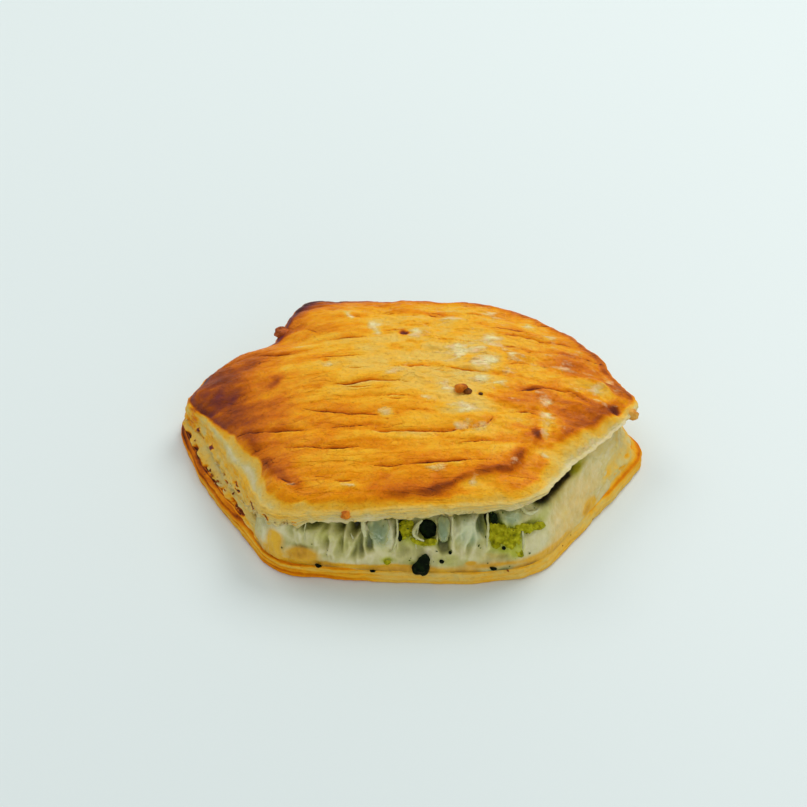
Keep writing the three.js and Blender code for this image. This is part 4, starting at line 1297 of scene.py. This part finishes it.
def crust_material(name, gloss, grain, lid=False):
    """Baked pastry: browned, with painted shade and highlights, by its bake_and_painted_light
    attribute, with leaves of dough whose edges are crisp.

    The lid has more: the score cuts, pale flakes, hairline creases, and a burnt tint at its left.
    """
    look = Shader(name)
    bake_and_painted_light = look.attribute("bake_and_painted_light")
    bake_and_painted_light = look.vary(bake_and_painted_light, look.noise(6, (2.2, 1, 1)), 0.14 * grain)
    bake_and_painted_light = look.vary(bake_and_painted_light, look.noise(1.4, (2.4, 1, 1)), 0.12 * grain)
    bake_and_painted_light = look.vary(bake_and_painted_light, look.noise(0.5), 0.06 * grain)
    leaves = look.maths("SNAP", look.noise(4, (2.2, 1, 1), 6, 0.65), 0.08)
    bake_and_painted_light = look.vary(bake_and_painted_light, leaves, 0.2 * grain)
    layers = [
        (leaves, 2.0 * grain),
        (look.noise(1.3, (1.8, 1, 1)), 0.3 * grain),
        (look.noise(0.4), 0.14),
    ]
    if lid:
        # Darker along the score cuts: their browning, with painted shade in the groove.
        wobble = look.vary(look.attribute("cut"), look.noise(0.7), 0.8)
        near = look.range(wobble, 1.0, 0.0, 0.0, 0.8)
        bake_and_painted_light = look.maths("ADD", bake_and_painted_light, look.times(near, 0.2))
        flake = look.vary(look.attribute("flake"), look.noise(1.9, (1.9, 1, 1), 6, 0.75), 2.2)
        flake = look.rise(flake, 0.5, 1.15)
        bake_and_painted_light = look.maths("SUBTRACT", bake_and_painted_light, look.times(flake, 0.06))
        layers.append((look.maths("SUBTRACT", flake, near), 0.2))
        # Hairlines run where a stretched noise crosses its middle, and only on the browner dough.
        middle = look.maths("SUBTRACT", look.noise(3, (5, 1, 1), 1), 0.5)
        hair = look.range(look.maths("ABSOLUTE", middle, 0.0), 1.0, 0.0, 0.0, 0.03)
        some = look.rise(look.noise(8, (2, 1, 1)), 0.5, 0.62)
        hair = look.times(hair, some, look.rise(bake_and_painted_light, 0.3, 0.42))
        bake_and_painted_light = look.maths("ADD", bake_and_painted_light, look.times(hair, 0.05))
        layers.append((look.maths("SUBTRACT", 0.0, hair), 0.16))
    tint = look.ramp(bake_and_painted_light, BAKED)
    if lid:
        flaky = look.blend(look.rise(look.noise(3.5), 0.42, 0.58), *FLAKY)
        tint = look.blend(look.times(flake, 0.72), tint, flaky)
        # The burnt tint comes up in patches on the darkest dough, behind the middle and at the left.
        dark = look.range(bake_and_painted_light, 0.0, 0.8, 0.74, 0.92)
        patchy = look.range(look.noise(4.5, (1.8, 1, 1)), 0.1, 0.95, 0.4, 0.62)
        across = look.node("ShaderNodeSeparateXYZ", {"Vector": look.place}).outputs
        behind = look.rise(across["Y"], -0.016, -0.009)
        leftward = look.range(across["X"], 1.0, 0.3, -0.01, 0.02)
        tint = look.blend(look.times(dark, patchy, behind, leftward), tint, BURNT)
    look.set(
        Base_Color=tint, Roughness=look.range(look.noise(2.5), 0.5 - gloss, 0.72 - gloss),
        Specular_IOR_Level=0.06, Coat_Weight=0.3 * gloss, Coat_Roughness=0.25,
    )
    look.soft(0.1, (1.0, 0.5, 0.15), 1.2)
    look.bumps(*layers)
    return look.material


def filling_material():
    """Wet filling: creamy, leafy, golden or clear by its attributes, and darker as its tone rises,
    which holds its own tone with painted shade and highlights.
    """
    look = Shader("moist_filling")
    tone = look.attribute("tone")
    tone = look.vary(tone, look.noise(2.4, (1, 1, 2)), 0.2)
    tone = look.vary(tone, look.noise(0.7, (1, 1, 1.5)), 0.14)
    creamy = look.ramp(tone, [
        (0.0, (228, 218, 170)),
        (0.18, (204, 195, 128)),
        (0.38, (168, 162, 92)),
        (0.58, (114, 110, 44)),
        (0.78, (54, 54, 18)),
        (1.0, (18, 12, 5)),
    ])
    leafy = look.ramp(tone, [
        (0.0, (200, 200, 70)),
        (0.25, (164, 168, 24)),
        (0.45, (112, 122, 10)),
        (0.7, (52, 70, 10)),
        (1.0, (10, 18, 4)),
    ])
    golden = look.ramp(tone, [
        (0.0, (240, 186, 40)),
        (0.3, (214, 154, 6)),
        (0.7, (136, 94, 2)),
        (1.0, (60, 34, 6)),
    ])
    green = look.vary(look.attribute("green"), look.noise(1.5), 0.3)
    tint = look.blend(look.rise(green, 0.15, 0.8), creamy, leafy)
    gold = look.vary(look.attribute("gold"), look.noise(1.5), 0.3)
    tint = look.blend(look.rise(gold, 0.2, 0.8), tint, golden)
    glassy = look.ramp(tone, [
        (0.0, (212, 214, 168)),
        (0.25, (168, 180, 130)),
        (0.5, (116, 132, 88)),
        (1.0, (34, 46, 26)),
    ])
    clear = look.vary(look.attribute("clear"), look.noise(1.5, (1, 1, 3)), 0.4)
    clear = look.rise(clear, 0.25, 0.75)
    tint = look.blend(clear, tint, glassy)
    look.set(Base_Color=tint, Roughness=look.range(clear, 0.36, 0.14), Specular_IOR_Level=0.4)
    look.soft(0.25, (1.0, 0.9, 0.4), 1.5)
    look.bumps((look.noise(1.3, (1, 1, 2)), 0.3), (look.noise(0.4), 0.1))
    return look.material


def onion_material():
    """Cooked onion: clear and a little green, with paler, cloudier edges."""
    look = Shader("glassy_onion")
    edge = look.vary(look.attribute("edge"), look.noise(1.2, (1, 1, 3)), 0.5)
    edge = look.vary(edge, look.noise(3.4, (1, 1, 2)), 1.4)
    tint = look.ramp(edge, [
        (0.0, (152, 170, 128)),
        (0.5, (162, 176, 124)),
        (0.8, (180, 184, 124)),
        (1.0, (196, 190, 126)),
    ])
    clear = look.range(edge, 0.3, 0.05, 0.5, 1.0)
    look.set(Base_Color=tint, Transmission_Weight=clear, Roughness=0.22, IOR=1.38)
    look.soft(0.3, (0.8, 1.0, 0.7), 1.5)
    look.bumps((look.noise(1.0, (0.7, 1, 4)), 0.25), (look.noise(0.4), 0.06))
    return look.material


def leaf_material(name, deep, middle, light):
    """Cooked leaf: veined, wet, darker in its folds."""
    look = Shader(name)
    shade = look.vary(look.rise(look.noise(1.4), 0.25, 0.75), look.noise(0.5), 0.4)
    look.set(
        Base_Color=look.ramp(shade, [(0.0, deep), (0.5, middle), (1.0, light)]),
        Roughness=look.range(look.noise(0.8), 0.35, 0.6), Specular_IOR_Level=0.05,
    )
    look.soft(0.1, (0.3, 1.0, 0.2), 0.8)
    look.bumps((look.noise(0.7), 0.3), (look.noise(0.25), 0.1))
    return look.material


def dough_material(name, deep, middle, light):
    """Torn, unbrowned dough, as in the strands and flakes."""
    look = Shader(name)
    shade = look.vary(look.noise(3), look.noise(0.6), 0.5)
    look.set(
        Base_Color=look.ramp(shade, [(0.2, deep), (0.5, middle), (0.8, light)]),
        Roughness=look.range(look.noise(0.8), 0.35, 0.6),
    )
    look.soft(0.3, (1.0, 0.8, 0.4), 1.2)
    look.bumps((look.noise(0.6), 0.15))
    return look.material


def crumb_material(name, dark, light, size_mm=1.0, roughness=0.6):
    """Small baked bits, mottled between two shades."""
    look = Shader(name)
    shade = look.rise(look.noise(2.5 * size_mm), 0.3, 0.7)
    shade = look.vary(shade, look.noise(0.4 * size_mm), 0.5)
    look.set(
        Base_Color=look.ramp(shade, [(0.1, dark), (0.9, light)]),
        Roughness=roughness, Specular_IOR_Level=0.15,
    )
    look.soft(0.1, (1.0, 0.5, 0.2), 0.8)
    look.bumps((look.noise(0.5 * size_mm), 0.2))
    return look.material


# ---- The pastry ----------------------------------------------------------------------------------

golden_crust = crust_material("golden_crust", gloss=0.2, grain=1.0, lid=True)
soft_crust = crust_material("soft_crust", gloss=0.05, grain=0.9)
moist_filling = filling_material()
glassy_onion = onion_material()
pale_dough = dough_material("pale_dough", (190, 156, 84), (216, 190, 120), (234, 218, 162))
stringy = dough_material("stringy_dough", (176, 172, 104), (206, 202, 146), (226, 222, 180))
dark_leaf = leaf_material("dark_leaf", (2, 6, 1), (8, 18, 3), (24, 42, 8))
bright_leaf = leaf_material("bright_leaf", (86, 82, 2), (162, 156, 10), (212, 204, 46))

lid = new_object("golden_lid", lid_mesh(), golden_crust)
finished(lid, replaces="top_pastry")
base = new_object("bottom_crust", base_mesh(), soft_crust)
finished(base, replaces="bottom_pastry")
filling = new_object("spinach_filling", filling_mesh(), moist_filling)
finished(filling, replaces="filling")

# Slices of onion: outline in x and height, how far each stands out, and how far it bulges.
ONIONS = [
    ([(-11.8, 18.4), (-6.2, 18.4), (-5.6, 15), (-5.9, 12), (-7.6, 10.2), (-9.4, 11.4), (-11.2, 14.4)],
     -0.1, 0.9),
    ([(7, 18.2), (10.2, 18.2), (10.4, 14.6), (9.8, 12.4), (8.4, 11.6), (7.2, 12.6), (6.9, 15)],
     -0.3, 1.1),
]
onion_meshes = [
    sheet_mesh(f"onion_{i}", outline, 0.7, out, bulge, 200 + 7 * i, crumple=0.7, torn=0.12)
    for i, (outline, out, bulge) in enumerate(ONIONS)
]
onions = new_object("onion_slices", joined("onion_slices", onion_meshes), glassy_onion)
finished(onions)

# Pieces of spinach, in the same way.
DARK_LEAVES = [
    ([(4.1, 10.4), (2.5, 9.2), (1.2, 7.6), (0, 6), (0.6, 4.1), (2.2, 3.7), (3.6, 3.1), (4.9, 4.4),
      (5.1, 6.8), (4.9, 9)],
     0.9, 0.7),
    ([(20.4, 18.6), (22.4, 18.4), (22.9, 16.6), (21.2, 15.6)], 0, 0.3),
    ([(-25.6, 5.4), (-24, 5.3), (-23.5, 4.2), (-25.2, 3.8)], 0.9, 0.4),
    ([(20.4, 6), (22, 5.8), (23.1, 5), (21.6, 4.5)], 0.9, 0.3),
    ([(7.4, 8.2), (8.8, 8), (8.7, 7), (7.6, 7)], 0.9, 0.3),
    ([(23.9, 11.6), (25.1, 11.3), (24.7, 10.3), (23.8, 10.6)], 1.9, 0.2),
    ([(-11, 4.9), (-9.2, 4.6), (-9.4, 4), (-10.8, 4.1)], 0.9, 0.2),
    ([(1.9, 16), (4.2, 16.4), (6.7, 16), (6.5, 12.9), (4.4, 12), (2.8, 12.2)], -1.8, 0.3),
    ([(9.9, 10.6), (10.8, 10.4), (10.6, 9.7), (9.8, 9.9)], 0.9, 0.2),
    ([(-3.7, 14.8), (-2.6, 15), (-1.9, 13), (-3.2, 12)], 0.2, 0.2),
]
BRIGHT_LEAVES = [
    ([(-3.4, 16.8), (0.2, 17.3), (0.8, 15), (0.6, 13.4), (-1, 12.6), (-3.2, 12.3)], -0.6, 0.6),
    ([(0.4, 13.4), (3.2, 12.6), (7, 13), (6.9, 11.6), (2.8, 11.1), (0.3, 12.2)], 0, 0.4),
    ([(26.8, 15.4), (29.9, 15.8), (31.6, 14.6), (34, 14.2), (36.2, 13), (35.9, 11.8), (34, 12.2),
      (32.8, 13), (31, 12.6), (29.6, 13.8), (27.4, 14.4)],
     0.7, 0.4),
    ([(20.5, 15.6), (24, 15.8), (27.6, 14.8), (29.3, 13.4), (29.7, 7.6), (27, 8), (23.8, 9.6),
      (20.8, 10.6)],
     0.5, 0.7),
    ([(-7.4, 7.6), (-5.6, 7.6), (-5.2, 6.6), (-6.8, 6.4)], 0.5, 0.3),
]
for name, places, material, seed, torn in (
    ("dark_spinach", DARK_LEAVES, dark_leaf, 300, 0.07),
    ("bright_spinach", BRIGHT_LEAVES, bright_leaf, 340, 0.2),
):
    leaves = [
        sheet_mesh(f"{name}_{i}", outline, 0.3, out, bulge, seed + 5 * i, 0.7, torn)
        for i, (outline, out, bulge) in enumerate(places)
    ]
    finished(new_object(name, joined(name, leaves), material))

# Strands of dough and onion that cross the filling: points of x, height and how far out; thickness.
STRANDS = [
    ([(2.9, 17.8, 0.2), (1.4, 16.6, 0.7), (0.7, 15, 0.8), (1.8, 13.6, 0.6), (3.4, 12.8, 0.4)], 0.5),
    ([(-3.7, 18.6, 0.8), (-3.6, 14.4, 1.1), (-4.6, 10.8, 0.9), (-5.6, 9.6, 0.5)], 0.34),
    ([(20, 18.8, 0.5), (20.2, 15, 0.9), (19.9, 10.6, 0.5)], 0.34),
    ([(10.9, 18.4, 0.4), (10.8, 14.6, 0.8), (11.4, 10.4, 0.4)], 0.3),
    ([(-12.3, 19, 0.9), (-12.5, 16.4, 1.2), (-12, 13.8, 0.8)], 0.55),
    ([(28.6, 19.4, 0.3), (31, 17.4, 0.7), (34, 16.6, 0.4)], 0.5),
    ([(29.4, 14, 0.6), (29.7, 11, 0.8), (29.4, 7.8, 0.6)], 0.3),
]
chance = np.random.default_rng(7)
for _ in range(4):
    x = chance.uniform(-28, 20)
    top = chance.uniform(11, 17)
    drop = chance.uniform(3, 7)
    drift = chance.uniform(-1.2, 1.2)
    bow = chance.uniform(-0.6, 0.6)
    path = [(x, top, -0.4), (x + drift / 2 + bow, top - drop / 2, 0.2), (x + drift, top - drop, -0.2)]
    STRANDS.append((path, chance.uniform(0.2, 0.3)))
strands = strand_tree().grow(
    "dough_strands",
    strand_guide([(path, width * MM) for path, width in STRANDS]),
    stringy,
    Wobble=0.0005,
)
finished(strands)

# ---- Bits that are scattered ---------------------------------------------------------------------


def lid_foot_guide():
    """The lid's torn foot, thickest with bits where the filling hangs open."""
    angle = np.linspace(-np.pi, np.pi, 700)
    far = reach(LID, angle)
    foot = side("foot", angle)
    crowd = 0.3 + 0.7 * side("drape", angle) * (1 - 0.7 * side("whitish", angle))
    far = far - side("tuck", angle)
    return strip_guide(angle, far - 1.6, foot - 0.3, far + 0.5, foot + 0.9, crowd)


def seam_guide():
    """The torn line on the crumbly sides, just above the bottom crust's shoulder."""
    angle = np.radians(np.linspace(60, 228, 320))
    crowd = side("crumbly", angle)
    far = reach(BASE, angle)
    return strip_guide(angle, far - 1.8, EDGE_HEIGHT + 0.3, far - 3.2, EDGE_HEIGHT + 3, crowd)


def base_rim_guide():
    """The bottom crust's edge all round, thickest with bits at its left."""
    angle = np.linspace(-np.pi, np.pi, 500)
    far = reach(BASE, angle)
    crowd = 0.4 + 0.6 * bump(past_bearing(angle, -165), 35)
    return strip_guide(angle, far - 0.5, 0.6, far - 1.0, EDGE_HEIGHT + 0.2, crowd)


def front_guide():
    """The front of the filling, thickest with bits where it is green."""
    x = np.linspace(-38, 34, 73)
    heights = np.linspace(5, 19, 15)
    points = np.array([front_place(x, np.full(x.shape, h), 0.7) for h in heights])
    count = len(x)
    faces = []
    for row in range(len(heights) - 1):
        for i in range(count - 1):
            a = row * count + i
            faces.append((a, a + 1, a + 1 + count, a + count))
    crowd = np.array([0.3 + 0 * x + spots(x, np.full(x.shape, h), GREENS) for h in heights])
    return mesh_of("front_guide", points.reshape(-1, 3), faces, {"crowd": crowd})


golden_crumb = crumb_material("golden_crumb", (196, 140, 50), (224, 186, 106), roughness=0.7)
toasted = crumb_material("toasted_bits", (96, 44, 12), (190, 104, 24))
specked_green = crumb_material("green_bits", (14, 26, 6), (96, 116, 20), roughness=0.4)
# Each kind of bit: its name, what it lies on, its material and slot, and the sizes of the tree.
SCATTERED = [
    ("torn_dough", lid_foot_guide, pale_dough, "golden_crust", {
        "Density": 8e5, "Smallest": 0.0002, "Largest": 0.0008, "Flatness": 0.3,
        "Wave": 0.0006, "Wobble": 0.0014, "Seed": 3,
    }),
    ("seam_crumbs", seam_guide, golden_crumb, "bottom_crust", {
        "Density": 1.4e5, "Smallest": 0.0001, "Largest": 0.0003, "Flatness": 0.5,
        "Wave": 0.0006, "Wobble": 0.0006, "Seed": 5,
    }),
    ("seam_toast", seam_guide, toasted, "bottom_crust", {
        "Density": 9e4, "Smallest": 0.0002, "Largest": 0.0007, "Flatness": 0.4,
        "Wave": 0.001, "Wobble": 0.0008, "Seed": 6,
    }),
    ("rim_toast", base_rim_guide, toasted, "bottom_crust", {
        "Density": 4e4, "Smallest": 0.0003, "Largest": 0.0009, "Flatness": 0.35,
        "Wave": 0.001, "Wobble": 0.0008, "Seed": 8,
    }),
    ("green_specks", front_guide, specked_green, "spinach_filling", {
        "Density": 9e4, "Smallest": 0.0001, "Largest": 0.00036, "Flatness": 0.4,
        "Wave": 0.0008, "Wobble": 0.0003, "Seed": 11,
    }),
]
bits = scatter_tree()
for name, guide, material, slot, sizes in SCATTERED:
    finished(bits.grow(name, guide(), material, **sizes))

# Single lumps: name, centre, radii, seed, and the material and slot of each.
LUMPS = [
    ("lid_crumb", (14.2, -6.3, 29.9), (1.8, 1.6, 1.5), 21, "crumb", "golden_crust"),
    ("lid_crumb_dark", (15.8, -7.4, 29.6), (1.3, 1.3, 1.1), 27, "burnt", "golden_crust"),
    ("lid_speck", (19.3, -8, 29.5), (0.7, 0.6, 0.4), 28, "burnt", "golden_crust"),
    ("tip_bead", (62.7, -2.3, 17.3), (1.9, 2, 1.8), 22, "bead", "golden_crust"),
    ("notch_lump", (-38.4, 31.4, 20), (2.2, 2.6, 1.7), 23, "russet", "golden_crust"),
    ("edge_drip", (-17, -46.4, 20.6), (1.4, 1, 1.1), 24, "crumb", "golden_crust"),
]
lump_materials = {
    "crumb": crumb_material("baked_crumb", (160, 70, 6), (236, 142, 32)),
    "russet": crumb_material("russet_crumb", (104, 36, 10), (208, 108, 40)),
    "burnt": crumb_material("burnt_crumb", (52, 30, 8), (150, 84, 20)),
    "bead": crumb_material("golden_bead", (214, 126, 16), (240, 192, 92), size_mm=1.5, roughness=0.4),
}
for name, centre, radii, seed, material, slot in LUMPS:
    lump = lump_mesh(name, centre, radii, seed, wild=0.55, grain=0.6)
    finished(new_object(name, lump, lump_materials[material]))

# ---- Floor, light and camera ---------------------------------------------------------------------


def floor():
    size = 1.5
    corners = [(-size, -size, 0), (size, -size, 0), (size, size, 0), (-size, size, 0)]
    mesh = bpy.data.meshes.new("floor")
    mesh.from_pydata(corners, [], [(0, 1, 2, 3)])
    pale = Shader("pale_floor")
    pale.set(Base_Color=colour(226, 235, 232), Roughness=0.5)
    new_object("floor", mesh, pale.material)


def area_light(name, place, size, power):
    """A square light, aimed at the pastry."""
    data = bpy.data.lights.new(name, "AREA")
    data.shape = "SQUARE"
    data.size = size
    data.energy = power
    lamp = bpy.data.objects.new(name, data)
    lamp.location = place
    lamp.rotation_euler = (-Vector(place)).to_track_quat("-Z", "Y").to_euler()
    bpy.context.scene.collection.objects.link(lamp)


def camera():
    data = bpy.data.cameras.new("camera")
    data.lens = 70
    data.sensor_width = 36
    data.clip_start = 0.01
    eye = bpy.data.objects.new("camera", data)
    eye.location = (-0.00197, -0.3376, 0.30798)
    eye.rotation_euler = (math.radians(49.4626), 0, 0)
    bpy.context.scene.collection.objects.link(eye)
    bpy.context.scene.camera = eye


def daylight():
    world = bpy.data.worlds.new("soft_room")
    world.use_nodes = True
    world.node_tree.nodes["Background"].inputs["Color"].default_value = (0.92, 0.97, 1.0, 1)
    world.node_tree.nodes["Background"].inputs["Strength"].default_value = 0.5
    bpy.context.scene.world = world
    area_light("window", (0.4, 0.5, 0.75), 0.5, 4)
    area_light("second_window", (-0.45, 0.45, 0.7), 0.5, 1.8)
    area_light("bounce", (0.3, -0.7, 0.4), 0.8, 1.2)


floor()
daylight()
camera()
bpy.context.scene.view_settings.view_transform = "Standard"
